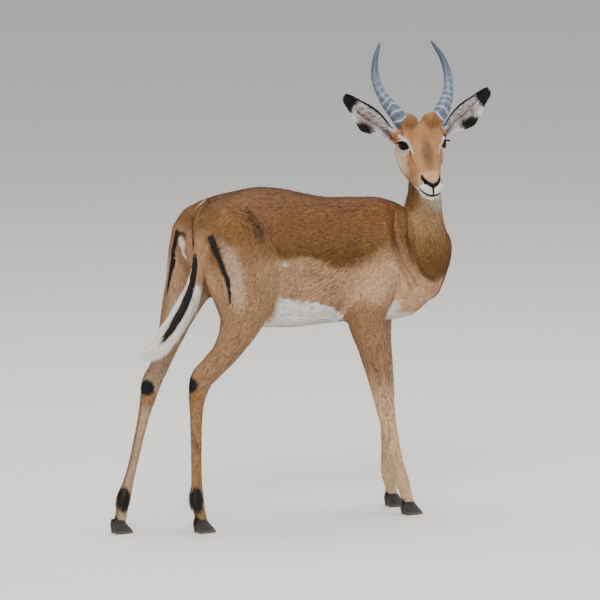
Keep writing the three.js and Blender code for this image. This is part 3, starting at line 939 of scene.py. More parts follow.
def paint_tail(points, place):
    tone, gap = tail_colours(points, place["across"])
    outer = smooth(-place["height"], -0.002, 0.002)
    return mix(tone, BLACK, (1 - smooth(gap, -0.0012, 0.0012)) * outer)


def paint_rump(tone, points, normals):
    x, y, z = points.T
    right = np.stack([x, MIDDLE - np.abs(y - MIDDLE), z], 1) / MM
    here = points / MM
    tone = mix(tone, PALE, streak(right, *RIGHT_PALE, 36) * 0.6)
    # painted highlight on the ridge beside the shoulder fold, then painted shade along the fold
    tone = mix(tone, SHOULDER, streak(right - [9, 0, 0], *SHOULDER_FOLD, 8) * 0.3)
    tone = mix(tone, DARK, streak(right, *SHOULDER_FOLD, 8) * 0.75)
    # painted shade in the neck's crease
    tone = mix(tone, DARK, streak(right, *NECK_CREASE_SHADE, 5) * 0.4)
    tone = mix(tone, WHITE, spot(right, [258, -28, 552], [22, 30, 20], 0.5))
    tone = mix(tone, RUMP_OCHRE, spot(right, [-248, -66, 806], [52, 60, 46], 0.8) * 0.6)
    # painted shade in each of the hip's wrinkles
    for line in HIP_WRINKLE_SHADES:
        tone = mix(tone, DARK, streak(right, line, [1, 2.2, 1], 6) * 0.75)
    # painted shade in the chest's notch
    tone = mix(tone, DARK, streak(right, *CHEST_NOTCH_SHADE, 7) * 0.4)
    tone = mix(tone, DARK, streak(right, *HIP_SHADE, 12) * (0.65 + 0.25 * waves(points, 0.012, 8)))
    # painted highlight on the bulge of the shoulder's muscle
    tone = mix(tone, PALE, spot(right, [177, -77, 606], [34, 30, 26], 0.8) * 0.5)
    tone = mix(tone, WHITE, streak(here, *LEFT_RIM, 6) * 0.7)
    tone = mix(tone, WHITE, streak(here, *RUMP_WHITE, 4))
    tone = mix(tone, WHITE, streak(here, *FLANK_LOCK, 2) * 0.4)
    for stripe in (RIGHT_STRIPE, LEFT_STRIPE, STRIPE_HOOK):
        tone = mix(tone, BLACK, streak(here, *stripe, 3.5))
    ridge = (1 - smooth(np.abs(y - MIDDLE), 0.0015, 0.006)) * smooth(normals[:, 2], 0.6, 0.9)
    return mix(tone, DARK, ridge * smooth(z, 0.78, 0.82) * (1 - smooth(x, 0.02, 0.12)) * 0.55)


# lines on the face in the head's frame, for both sides: line, half widths, soft edge, colour and share
HEAD_LINES = [
    ([[-8, 57, -26], [9, 56, -23], [24, 51, -10], [28, 46, 0]], [9, 11, 8, 4], 6, UNDER_EYE, 0.85),
    ([[39, 47, -8], [50, 44, -20], [66, 39, -26], [80, 35, -31]], [4, 6, 6, 4], 7, FACE_ORANGE, 0.7),
    (
        [[-36, 54, -7], [-14, 55, 10], [3, 52, 19], [16, 46, 17], [26, 40, 11], [42, 34, 7]],
        *([3, 5, 5, 4, 3, 1.2], 3, WHITE, 0.9),
    ),
    (
        [[23, 43, 10], [34, 40, 5], [44, 41, -3], [48, 44, -17], [50, 45, -35]],
        *([2.6, 2.6, 2.2, 1.8, 1], 3, DARK, 0.75),
    ),
    ([[48, 41, -5], [59, 36, -7], [72, 35, -16]], [1.6, 1.4, 0.8], 3, DARK, 0.45),
]
# lines seen square on to the face: offset from its middle and distance down it
NOSE_LINE = ([[23, 84], [23, 93], [14, 105], [0, 114]], [1.8, 4, 5, 6])
PHILTRUM = ([[0, 112], [0, 134]], [3.6, 2.6])
LIP_EDGE = [[0, 118], [8, 114], [16, 109], [24, 105], [30, 110], [43, 116]]
PALE_EDGE = [[0, 73], [20, 74], [31, 82], [40, 90]]


def paint_head(points):
    spots = row_to_head(points) / MM
    u, v, w = spots.T
    v = np.abs(v)
    folded = np.stack([u, v, w], 1)
    down = 0.78 * u - 0.63 * w
    flat = np.stack([v, down], 1)
    tone = mix(FACE, FOREHEAD, smooth(-u, -34, 6) * (1 - smooth(v, 40, 54)))
    tone = mix(tone, NECK_TAN, smooth(-w, 50, 90) * smooth(-u, -40, 0))
    tone = mix(tone, CHEEK, spot(folded, [22, 54, -44], [44, 18, 26], 0.45))
    tone = mix(tone, BRIDGE, spot(folded, [48, 0, 14], [50, 15, 30], 0.6) * 0.85)
    front = smooth(u, 72, 92)
    under = smooth(-w, 46, 52)
    pale = smooth(down - np.interp(v, *np.transpose(PALE_EDGE)), -4, 5)
    tone = mix(tone, MUZZLE, pale * front * (1 - under) * 0.85)
    white = smooth(down - np.interp(v, *np.transpose(LIP_EDGE)), -2.5, 2.5)
    tone = mix(tone, WHITE, white * front * smooth(-w, 8, 14))
    tone = mix(tone, THROAT, spot(folded, [84, 0, -74], [66, 24, 26], 0.5))
    tone = mix(tone, WHITE, smooth(u, 100, 118) * smooth(-w, 44, 50))
    for line, halves, soft, paint, share in HEAD_LINES:
        tone = mix(tone, paint, streak(folded, line, halves, soft) * share)
    for line, halves in (NOSE_LINE, PHILTRUM):
        nose = streak(flat, line, halves, 2.2) * smooth(u, 88, 98) * (1 - smooth(-w, 34, 37))
        tone = mix(tone, BLACK, nose)
    tone = mix(tone, BLACK, streak(folded, NOSTRIL, [2, 3.6, 4.4, 4], 2))
    tone = mix(tone, BLACK, streak(folded, MOUTH, [1.4, 2.4, 2.8, 3.4, 3.8, 4.2], 1.5))
    offset = folded - EYE / MM
    near = np.linalg.norm(offset, axis=1) - EYE_RADIUS / MM
    rim = lid_distance(offset)
    tone = mix(tone, UNDER_EYE, (1 - smooth(rim, 5, 9)) * (1 - smooth(near, 8, 12)) * 0.85)
    tone = mix(tone, BLACK, (1 - smooth(rim, 2, 3.4)) * (1 - smooth(near, 4, 6)))
    tone = mix(tone, BLACK, streak(folded, [[-14, 61, -8], [-22, 62, -14]], [3, 1.5], 2))
    tone = mix(tone, BLACK, spot(folded, [-58, 45, 26], [16, 15, 16], 0.3) * 0.9)
    return mix(tone, DARK, spot(folded, [-62, 0, 8], [24, 9, 22], 0.5) * 0.7)


def ear_black(share, lower):
    """Share of black on an ear: its tip, a patch on the lower rim and a line along the upper rim."""
    tip = smooth(share, 0.775, 0.80)
    patch = spot(np.stack([share, lower], 1), [0.51, 1.1], [0.14, 0.68], 0.2)
    upper = smooth(-lower, 0.84, 0.94) * smooth(share, 0.1, 0.2)
    return np.maximum(np.maximum(tip, patch), upper)


def ear_inner(points, share, lower):
    flat = np.stack([share, lower], 1)
    inner = mix(EAR_WHITE, EAR_PINK, spot(flat, [0.45, 0], [0.25, 0.6], 0.5) * 0.6)
    blotch = smooth(waves(points, 0.016, 33), -0.1, 0.7)
    inner = mix(inner, EAR_BROWN, spot(flat, [0.58, -0.1], [0.2, 0.6], 0.6) * blotch * 0.8)
    # painted shade in the hollow of the cup near the ear's root
    return mix(inner, DARK, spot(flat, [0.12, 0.1], [0.14, 0.7], 0.5) * 0.8)


def paint_ear(points, place, side):
    share = place["reach"] / EAR_LENGTH
    shares, halves = np.array(EAR_LEAF)[:, :2].T
    ratio = place["across"] / np.interp(share, shares, halves * MM)
    lower = ratio * side
    inside = smooth(place["height"], -0.001, 0.002)
    back = mix(FACE, SADDLE, smooth(share, 0.2, 0.6) * 0.6)
    inner = ear_inner(points, share, lower)
    lines = smooth(np.sin(ratio * 11 + share * 3), 0.5, 0.95) * (1 - smooth(np.abs(ratio), 0.6, 0.9))
    inner = mix(inner, DARK, lines * smooth(share, 0.12, 0.3) * (1 - smooth(share, 0.72, 0.88)) * 0.7)
    tone = mix(back, inner, inside)
    return mix(tone, BLACK, ear_black(share, lower)), share


def paint(points, normals, place):
    """Colour of skin and coat at each point."""
    label = place["label"]
    tone = np.empty_like(points)
    is_on = {name: label == k for k, name in enumerate(LIMB_NAMES)}
    torso = is_on["trunk"] | is_on["neck"]
    tone[:] = paint_body(points, normals)
    above = points[:, 2] - np.interp(points[:, 0], BREAST_X, BREAST_Z)
    neck_share = smooth(points[:, 0], 0.27, 0.33) * smooth(above, -0.012, 0.012)
    tone = mix(tone, paint_neck(points, normals), np.where(torso, neck_share, 0))
    for name in SOLES:
        here = is_on[name]
        part = paint_leg(points[here], normals[here], name)
        high = 0.60 if name.startswith("fore") else 0.64
        share = 1 - smooth(points[here, 2], high - 0.06, high + 0.03)
        tone[here] = mix(tone[here], part, share)
    tone = paint_rump(tone, points, normals)
    tail = is_on["tail"]
    tone[tail] = paint_tail(points[tail], {k: v[tail] for k, v in place.items()})
    head = is_on["head"] | (is_on["neck"] & (points[:, 2] > 0.86))
    share = smooth(points[head, 2], 0.85, 0.9)
    tone[head] = paint_head(points[head])
    for name, side in (("ear_left", 1), ("ear_right", -1)):
        here = is_on[name]
        part, share = paint_ear(points[here], {k: v[here] for k, v in place.items()}, side)
        tone[here] = mix(tone[here], part, smooth(share, 0.06, 0.14))
    speckle = 1 + 0.05 * waves(points, 0.012, 2) + 0.04 * waves(points, 0.05, 3)
    return np.clip(tone * speckle[:, None], 0, 1)


# ---- Meshes and materials ----


def new_object(name, points, faces, material):
    mesh = bpy.data.meshes.new(name)
    faces = faces.tolist() if isinstance(faces, np.ndarray) else faces
    mesh.from_pydata(points, [], faces)
    mesh.update()
    mesh.polygons.foreach_set("use_smooth", np.ones(len(mesh.polygons), bool))
    mesh.materials.append(material)
    thing = bpy.data.objects.new(name, mesh)
    bpy.context.scene.collection.objects.link(thing)
    return thing


def read(items, key, size, kind=float):
    values = np.empty(size, kind)
    items.foreach_get(key, values)
    return values


def set_tint(thing, tint):
    layer = thing.data.color_attributes.new("tint", "FLOAT_COLOR", "POINT")
    opaque = np.concatenate([tint, np.ones((len(tint), 1))], 1)
    layer.data.foreach_set("color", opaque.astype(np.float32).ravel())


def set_strand(thing, values):
    layer = thing.data.attributes.new("strand", "FLOAT_VECTOR", "POINT")
    layer.data.foreach_set("vector", np.asarray(values, np.float32).ravel())


def set_bake_map(thing, per_loop):
    layer = thing.data.uv_layers.new(name="OFBake")
    layer.data.foreach_set("uv", per_loop.astype(np.float32).ravel())


def painted(name, roughness, specular=0.3, sheen=0.0, coat=0.0, grain=None):
    """A material coloured by the tint attribute; grain is (attribute, scale, height) of its bump."""
    material = bpy.data.materials.new(name)
    material.use_nodes = True
    nodes, links = material.node_tree.nodes, material.node_tree.links
    shader = nodes["Principled BSDF"]
    shader.inputs["Roughness"].default_value = roughness
    shader.inputs["Specular IOR Level"].default_value = specular
    shader.inputs["Sheen Weight"].default_value = sheen
    shader.inputs["Coat Weight"].default_value = coat
    shader.inputs["Coat Roughness"].default_value = 0.03
    tint = nodes.new("ShaderNodeAttribute")
    tint.attribute_name = "tint"
    links.new(tint.outputs["Color"], shader.inputs["Base Color"])
    if grain:
        attribute, scale, height = grain
        where = nodes.new("ShaderNodeAttribute")
        where.attribute_name = attribute
        noise = nodes.new("ShaderNodeTexNoise")
        noise.inputs["Scale"].default_value = scale
        noise.inputs["Detail"].default_value = 3
        bump = nodes.new("ShaderNodeBump")
        bump.inputs["Distance"].default_value = height
        links.new(where.outputs["Vector"], noise.inputs["Vector"])
        links.new(noise.outputs["Fac"], bump.inputs["Height"])
        links.new(bump.outputs["Normal"], shader.inputs["Normal"])
    return material


SKIN_MATERIAL = painted("short_hair", 0.75, specular=0.2, grain=("strand", 420, 0.0009))
COAT_MATERIAL = painted("coat", 0.62, specular=0.28)
LONG_MATERIAL = painted("long_hair", 0.5, specular=0.35)
HORN_MATERIAL = painted("horn", 0.42, specular=0.45, grain=("strand", 300, 0.0007))
HOOF_MATERIAL = painted("hoof", 0.38, specular=0.5, grain=("strand", 260, 0.0004))
EYE_MATERIAL = painted("eye", 0.12, specular=0.14, coat=0.06)

# ---- Skin ----

CHARTS = {  # tile of each limb on the skin's map: left, bottom, width, height
    "trunk": (0.0, 0.0, 0.5, 0.62),
    "neck": (0.5, 0.0, 0.25, 0.3),
    "head": (0.75, 0.0, 0.25, 0.3),
    **{name: (0.5 + 0.125 * k, 0.3, 0.125, 0.7) for k, name in enumerate(LEGS)},
    "tail": (0.0, 0.62, 0.1, 0.38),
    "ear_left": (0.1, 0.62, 0.2, 0.38),
    "ear_right": (0.3, 0.62, 0.2, 0.38),
}
CHART_MARGIN = 0.02


def spread_out(name, points):
    """Place of each point on its limb's own unwrap, from 0 to 1 round it and along it."""
    found = SHAPES[name].locate(points)
    if name in LIMBS:
        shape = LIMBS[name]
        turned = np.arctan2(found["height"], found["across"]) / (2 * np.pi) + 0.5
        ahead = (found["reach"] + shape.caps[0]) / (shape.reach[-1] + shape.caps.sum())
        return np.stack([turned, np.clip(ahead, 0, 1)], 1)
    turned = np.clip(found["ratio"] / 1.2 + 1, 0, 2) / 4
    turned = np.where(found["height"] > 0, turned, 1 - turned)
    return np.stack([turned, np.clip(found["reach"] / EAR_LENGTH, 0, 1)], 1)


def skin_map(thing, points, label):
    mesh = thing.data
    corners = read(mesh.loops, "vertex_index", len(mesh.loops), int)
    count = len(mesh.polygons)
    starts = read(mesh.polygons, "loop_start", count, int)
    totals = read(mesh.polygons, "loop_total", count, int)
    face_label = np.repeat(label[corners[starts]], totals)
    first_corner = np.repeat(starts, totals)
    spots = np.zeros((len(corners), 2))
    for k, name in enumerate(LIMB_NAMES):
        here = face_label == k
        used, back = np.unique(corners[here], return_inverse=True)
        spots[here] = spread_out(name, points[used])[back]
    lag = spots[first_corner, 0] - spots[:, 0]
    spots[:, 0] += np.round(lag)
    tiles = np.array([CHARTS[name] for name in LIMB_NAMES])[face_label]
    inner = CHART_MARGIN + (1 - 2 * CHART_MARGIN) * spots
    set_bake_map(thing, tiles[:, :2] + tiles[:, 2:] * np.clip(inner, 0, 1))


def strand_places(points, way):
    """Coordinates squeezed along the lie of the hair, so that noise in them runs in streaks."""
    along = (points * way).sum(1)[:, None] * way
    return points - along * 0.85


def crease(points, normals, line, depth, width, side):
    """Moves points in along a fold drawn on one side in x and z, and out beside it."""
    line = np.array(line, float) * MM
    flat = points[:, [0, 2]]
    best = np.full(len(points), 1e3)
    share = np.zeros(len(points))
    total = len(line) - 1
    for k, (a, b) in enumerate(zip(line[:-1], line[1:])):
        way = b - a
        t = np.clip((flat - a) @ way / (way @ way), 0, 1)
        gap = np.linalg.norm(flat - a - t[:, None] * way, axis=1)
        nearer = gap < best
        best = np.where(nearer, gap, best)
        share = np.where(nearer, (k + t) / total, share)
    strength = np.sin(np.pi * np.clip(share, 0.02, 0.98)) ** 0.5
    facing = smooth(normals[:, 1] * side, 0.15, 0.5)
    groove = np.exp(-((best / width) ** 2)) - 0.45 * np.exp(-(((best - 1.9 * width) / width) ** 2))
    return points - normals * (depth * groove * strength * facing)[:, None]


FOLDS = [  # line in x and z, depth and width, in millimetres
    ([[x, z] for x, _, z in SHOULDER_FOLD[0]], 5.8, 8),
    ([[324, 808], [301, 768], [295, 737], [300, 698], [316, 657], [339, 615]], 4.5, 6),
    ([[380, 606], [356, 617], [342, 626], [322, 644]], 4.2, 7),
    ([[-164, 821], [-142, 762], [-124, 731], [-108, 699], [-98, 664], [-103, 625]], 3, 14),
    ([[-225, 843], [-209, 835], [-183, 827], [-164, 808]], 2, 5),
    ([[-215, 822], [-200, 806], [-183, 795]], 1.8, 4),
    ([[-185, 806], [-170, 790], [-163, 765]], 1.8, 5),
    ([[92, 600], [88, 577], [95, 558]], 3, 7),
]


def normals_of(thing):
    return read(thing.data.vertex_normals, "vector", len(thing.data.vertices) * 3).reshape(-1, 3)


def build_skin():
    lower = cut_at_neck(*body_skin(), NECK_CUT - SEWN_GAP, True)
    upper = cut_at_neck(*head_skin(), NECK_CUT + SEWN_GAP, False)
    points, faces = sew(lower, upper)
    thing = new_object("skin", points, faces, SKIN_MATERIAL)
    normals = normals_of(thing)
    for line, depth, width in FOLDS:
        for side in SIDES:
            points = crease(points, normals, line, depth * MM, width * MM, side)
    thing.data.vertices.foreach_set("co", points.ravel())
    thing.data.update()
    return thing, points


SKIN_SHADE = 0.9  # the skin is darker than the hair over it
skin, skin_points = build_skin()
skin_normals = normals_of(skin)
skin_place = locate_all(skin_points)
skin_way = hair_way(skin_normals, skin_place)
skin_tint = paint(skin_points, skin_normals, skin_place)
set_tint(skin, skin_tint * SKIN_SHADE)
set_strand(skin, strand_places(skin_points, skin_way))
skin_map(skin, skin_points, skin_place["label"])

# ---- Coat: short blades over the skin ----

BLADE_LIMIT = 95000  # blades in a coat piece, at two triangles each
PATCH = 0.003  # side of each blade's patch on the skin's map
COATS = {  # label: blades for each square metre, length and width in mm, lift
    "trunk": (300e3, 13, 1.5, 0.13),
    "neck": (300e3, 13, 1.4, 0.15),
    **dict.fromkeys(("fore_right", "fore_left"), (340e3, 9, 1.3, 0.13)),
    **dict.fromkeys(("hind_right", "hind_left"), (340e3, 9.5, 1.3, 0.13)),
    "tail": (300e3, 9, 1.3, 0.13),
    "head": (620e3, 5.2, 0.9, 0.14),
    **dict.fromkeys(EARS, (420e3, 5.5, 0.9, 0.12)),
}
PIECES = {  # limb, and the stretch of x that the piece covers
    "coat_rump": ("trunk", -1.0, -0.17),
    "coat_flank": ("trunk", -0.17, 0.02),
    "coat_ribs": ("trunk", 0.02, 0.19),
    "coat_breast": ("trunk", 0.19, 1.0),
    **{f"coat_{name}": (name, -1.0, 1.0) for name in COATS if name != "trunk"},
}


def skin_triangles():
    skin.data.calc_loop_triangles()
    triangles = skin.data.loop_triangles
    return read(triangles, "vertices", len(triangles) * 3, int).reshape(-1, 3)


TRIANGLES = skin_triangles()
CORNERS = skin_points[TRIANGLES]
AREAS = np.linalg.norm(np.cross(CORNERS[:, 1] - CORNERS[:, 0], CORNERS[:, 2] - CORNERS[:, 0]), axis=1) / 2


def scatter(weights, count):
    """Roots spread evenly over the skin by weight: points, normals and hair ways."""
    total = np.cumsum(AREAS * weights)
    picks = (np.arange(count) + random.uniform(size=count)) / count * total[-1]
    face = np.minimum(np.searchsorted(total, picks), len(total) - 1)
    a, b = random.uniform(size=(2, count))
    flip = a + b > 1
    a, b = np.where(flip, 1 - a, a), np.where(flip, 1 - b, b)
    share = np.stack([1 - a - b, a, b], 1)[:, :, None]
    ids = TRIANGLES[face]
    spot_points, spot_normals, spot_way = [
        (values[ids] * share).sum(1) for values in (skin_points, skin_normals, skin_way)
    ]
    return spot_points, unit(spot_normals), unit(spot_way)


def blades(roots, normals, way, length, width, lift):
    """Thin diamonds that lie along the skin: each has a root, two corners and a tip."""
    count = len(roots)
    way = unit(way + np.cross(normals, way) * random.normal(0, 0.16, (count, 1)))
    across = np.cross(way, normals)
    length = length * random.uniform(0.75, 1.2, count)
    width = width * random.uniform(0.8, 1.2, count)
    lift = lift * random.uniform(0.5, 1.5, count)
    base = roots - normals * 0.0004
    middle = roots + way * (length * 0.45)[:, None] + normals * (length * lift * 0.6)[:, None]
    half = across * (width / 2)[:, None]
    tip = roots + way * length[:, None] + normals * (length * lift * 0.85)[:, None]
    points = np.stack([base, middle + half, tip, middle - half], 1).reshape(-1, 3)
    k = np.arange(count)[:, None] * 4
    faces = np.concatenate([k + [0, 1, 3], k + [1, 2, 3]], 1).reshape(-1, 3)
    return points, faces


BLADE_SHADES = np.array([0.8, 1.0, 1.16, 1.0])
BLADE_PATCH = np.array([[0, -0.5], [0.5, 0], [0, 0.5], [-0.5, 0]]) * PATCH


def add_mesh(name, points, faces, tint, spots, material):
    """A coat piece with its colours and its patches on the unwrap, one patch for each tuft."""
    mesh = bpy.data.meshes.new(name)
    mesh.vertices.add(len(points))
    mesh.vertices.foreach_set("co", points.astype(np.float32).ravel())
    mesh.loops.add(faces.size)
    mesh.loops.foreach_set("vertex_index", faces.astype(np.int32).ravel())
    mesh.polygons.add(len(faces))
    mesh.polygons.foreach_set("loop_start", np.arange(0, faces.size, 3, dtype=np.int32))
    mesh.update(calc_edges=True)
    mesh.polygons.foreach_set("use_smooth", np.ones(len(faces), bool))
    mesh.materials.append(material)
    thing = bpy.data.objects.new(name, mesh)
    bpy.context.scene.collection.objects.link(thing)
    set_tint(thing, np.clip(tint, 0, 1))
    set_bake_map(thing, spots[faces.ravel()])
    return thing


def zone_of(label_name, low, high):
    here = (skin_place["label"] == LIMB_NAMES.index(label_name)) & (skin_points[:, 0] >= low)
    return here & (skin_points[:, 0] < high)


def chart_spots(label_name, roots):
    """Places on the limb's unwrap, stretched over the whole square."""
    spots = spread_out(label_name, roots)
    low, high = spots[:, 1].min(), spots[:, 1].max()
    spots[:, 1] = (spots[:, 1] - low) / (high - low)
    return 0.01 + 0.98 * np.clip(spots, 0, 1)


def shrink_by_place(label_name, roots):
    """Tufts get smaller towards the feet, the nose and the eyes."""
    if label_name == "head":
        spots = row_to_head(roots) / MM
        spots[:, 1] = np.abs(spots[:, 1])
        nose = smooth(spots[:, 0], 20, 130)
        eye = 1 - smooth(np.linalg.norm(spots - EYE / MM, axis=1), 18, 34)
        crown = spot(spots, [-52, 31, 34], [26, 28, 24], 0.4)
        return (1 - 0.45 * nose) * (1 - 0.45 * eye) * (1 + 0.9 * crown)
    if label_name in SOLES:
        return 0.62 + 0.38 * smooth(roots[:, 2], 0.12, 0.5)
    return np.ones(len(roots))


def clear_of_eyes(roots, tips):
    """Keeps blades off the eyeballs and out of the opened lids."""
    offset = row_to_head(np.vstack([roots, tips])) / MM
    offset[:, 1] = np.abs(offset[:, 1])
    offset -= EYE / MM
    open_here = (np.linalg.norm(offset, axis=1) < EYE_RADIUS / MM + 4) & (lid_distance(offset) < 0.8)
    blocked = open_here.reshape(2, -1)
    return ~(blocked[0] | blocked[1])


CLUMPING = {"head": 0.5, **dict.fromkeys(EARS, 0.5), "tail": 0.6}


def grow_coat(name, label_name, low, high):
    here = zone_of(label_name, low, high)
    weights = here[TRIANGLES[:, 0]].astype(float)
    area = (AREAS * weights).sum()
    density, length, width, lift = COATS[label_name]
    count = min(int(area * density), BLADE_LIMIT)
    roots, normals, way = scatter(weights, count)
    scale = shrink_by_place(label_name, roots)
    lying = strand_places(roots, way)
    way = unit(way + np.cross(normals, way) * 0.16 * waves(roots, 0.02, 24)[:, None])
    lift = lift * (1 + 0.5 * waves(roots, 0.009, 23))
    points, faces = blades(roots, normals, way, length * MM * scale, width * MM * scale**0.5, lift)
    if label_name == "head":
        keep = clear_of_eyes(points[::4], points[2::4])
        points, faces = points.reshape(-1, 4, 3)[keep].reshape(-1, 3), faces[: keep.sum() * 2]
        roots, normals, lying = roots[keep], normals[keep], lying[keep]
    tint = paint(roots, normals, locate_all(roots))
    clumps = 0.3 * waves(lying, 0.0045, 21) + 0.22 * waves(lying, 0.008, 25) + 0.1 * waves(lying, 0.019, 22)
    tint *= 1 + (clumps * CLUMPING.get(label_name, 1))[:, None] + random.normal(0, 0.18, (len(roots), 1))
    tint = (tint[:, None] * BLADE_SHADES[None, :, None]).reshape(-1, 3)
    spots = (chart_spots(label_name, roots)[:, None] + BLADE_PATCH).reshape(-1, 2)
    return add_mesh(name, points, faces, tint, spots, COAT_MATERIAL)


coat = [grow_coat(name, *zone) for name, zone in PIECES.items()]

# ---- Longer hair: the tail's brush, lashes, ears, chin and the tufts over the hind feet ----


def strands(roots, way, bend, across, length, width, segments=4):
    """Ribbons that leave their roots along way, curve towards bend, and end in a point."""
    count = len(roots)
    t = np.linspace(0, 1, segments + 1)
    path = [roots + (way * s + bend * s * s) * length[:, None] for s in t]
    halves = [0.5 * (1 - s) ** 0.6 * (0.5 + 0.5 * min(1, s * 4)) for s in t[:-1]]
    left = [p + across * (width * h)[:, None] for p, h in zip(path, halves)]
    right = [p - across * (width * h)[:, None] for p, h in zip(path, halves)]
    points = np.stack([q for pair in zip(left, right) for q in pair] + [path[-1]], 1).reshape(-1, 3)
    size = 2 * segments + 1
    k = np.arange(count)[:, None] * size
    faces = []
    for j in range(segments - 1):
        faces += [k + [2 * j, 2 * j + 1, 2 * j + 2], k + [2 * j + 1, 2 * j + 3, 2 * j + 2]]
    faces.append(k + [size - 3, size - 2, size - 1])
    return points, np.concatenate(faces, 1).reshape(-1, 3), size


def strand_patch(size):
    k = np.arange(size)
    return np.stack([np.where(k % 2, 0.5, -0.5) * (k < size - 1), k / (size - 1) - 0.5], 1) * PATCH


def add_strands(name, roots, way, bend, across, length, width, tint, spots, segments=4, tip_light=1.1):
    points, faces, size = strands(roots, way, bend, across, length, width, segments)
    shade = np.linspace(0.85, tip_light, size)
    tint = (tint[:, None] * shade[None, :, None]).reshape(-1, 3)
    spots = (spots[:, None] + strand_patch(size)).reshape(-1, 2)
    return add_mesh(name, points, faces, tint, spots, LONG_MATERIAL)


def jitter(count, amount):
    return random.normal(0, amount, (count, 3))


def grow_brush(count=12000):
    """The tail's long hair: it spreads to both sides of the core, with a black line down the outer face."""
    limb = LIMBS["tail"]
    full = dense(np.array(TAIL, float), RING_STEPS)
    last = len(limb.centre) - 1
    start = last * 0.36
    at = start + (last - start) * random.uniform(0, 1, count) ** 0.8
    index = at.astype(int)
    angle = random.uniform(0, 2 * np.pi, count)
    radii = limb.radii[index]
    rise, spread = np.sin(angle), np.cos(angle)
    height = rise * np.where(rise > 0, radii[:, 1], radii[:, 2])
    across = spread * radii[:, 0]
    side, lift, along = limb.side[index], limb.lift[index], limb.along[index]
    roots = limb.centre[index] + side * across[:, None] + lift * height[:, None]
    roots += along * random.uniform(0, 0.012, (count, 1))
    room = full[index, 3] * MM
    ripe = smooth(at / last, 0.36, 0.6)
    end = smooth(at / last, 0.8, 1)
    length = (0.018 + 0.038 * ripe) * random.uniform(0.7, 1.15, count) * (1 - 0.55 * end)
    outward = (room - np.abs(across)) / length * np.abs(spread) ** 0.8
    outward = np.clip(outward, 0, 0.62) * np.sign(spread) * random.uniform(0.5, 1.05, count)
    tint, gap = tail_colours(roots + along * (length * 0.6)[:, None], across)
    black = (rise < 0.15) & (gap < -0.0008)
    aside = outward * np.where(black, 0.2, 1.1) + 0.16 * end
    way = unit(along + side * aside[:, None] + lift * (rise * 0.1)[:, None] + jitter(count, 0.05))
    bend = along * 0.25 - side * (outward * 0.35)[:, None]
    tint = mix(tint, BLACK, black.astype(float))
    shadow = (spread > 0.6) & (roots[:, 2] > 0.59) & (roots[:, 2] < 0.64)
    tint = mix(tint, DARK, shadow * 0.55 * random.uniform(0, 1, count))
    flat = unit(np.cross(way, lift + jitter(count, 0.25)))
    tint *= random.normal(1, 0.06, (count, 1)) - 0.3 * (random.uniform(size=(count, 1)) < 0.12)
    spots = 0.01 + 0.98 * np.stack([angle / (2 * np.pi), (at - start) / (last - start)], 1)
    return add_strands("brush", roots, way, bend, flat, length, np.full(count, 1.8 * MM), tint, spots)


brush = grow_brush()


def grow_on_skin(name, centre, radii, count, length, width, pull, rise, paint_over=None):
    """Longer tufts round a place on the skin, drawn along the hair's lie and towards pull."""
    near = spot(skin_points, centre, radii, 0.4)[TRIANGLES[:, 0]]
    roots, normals, way = scatter(near, count)
    way = unit(way + np.array(pull) + normals * rise + jitter(count, 0.12))
    across = unit(np.cross(way, normals))
    size = length * random.uniform(0.7, 1.2, count)
    if paint_over is None:
        tint = paint(roots, normals, locate_all(roots)) * random.uniform(0.85, 1.25, (count, 1))
    else:
        tint = np.broadcast_to(paint_over, roots.shape) * random.uniform(0.8, 1.1, (count, 1))
    low, high = roots.min(0), roots.max(0)
    spread = (roots - low) / np.maximum(high - low, 1e-6)
    spots = 0.01 + 0.98 * np.stack([spread[:, 0] * 0.5 + 0.5 * (normals[:, 1] > 0), spread[:, 2]], 1)
    bend = np.broadcast_to([0, 0, -0.12], roots.shape)
    return add_strands(name, roots, way, bend, across, size, np.full(count, width), tint, spots, segments=3)


def grow_lashes(name, side, count=130):
    """Dark lashes along the upper lid, longest near its outer corner."""
    s = np.linspace(-HALF_LID + LID_SHIFT, 11, count) + random.uniform(-0.2, 0.2, count)
    high = UPPER_LID * lid_arch(s) + 0.4
    out = np.sqrt(np.maximum((EYE_RADIUS + LID) ** 2 / MM**2 - s**2 - high**2, 0))
    outer = 1 - smooth(s, -16, 4)
    roots = EYE / MM + np.outer(s, EYE_LONG) + np.outer(high, EYE_HIGH) + np.outer(out - 0.8, GAZE)
    way = GAZE * 0.5 + EYE_HIGH * 0.25 + np.outer(outer, Y_AXIS) - np.outer(0.2 + 0.6 * outer, EYE_LONG)
    way += jitter(count, 0.08)
    mirror = np.array([1, side, 1])
    way = unit(way * mirror) @ HEAD_TURN.T
    roots = head_to_row(roots * mirror * MM)
    bend = np.broadcast_to(-0.35 * Z_AXIS, roots.shape)
    length = (5 + 9 * outer) * MM * random.uniform(0.8, 1.1, count)
    across = unit(np.cross(way, GAZE * mirror @ HEAD_TURN.T + 0.3 * Z_AXIS))
    tint = np.broadcast_to(BLACK, roots.shape)
    spots = 0.02 + 0.96 * np.stack([np.linspace(0, 1, count), np.full(count, 0.5)], 1)
    width = np.full(count, 1.3 * MM)
    return add_strands(name, roots, way, bend, across, length, width, tint, spots, segments=3)


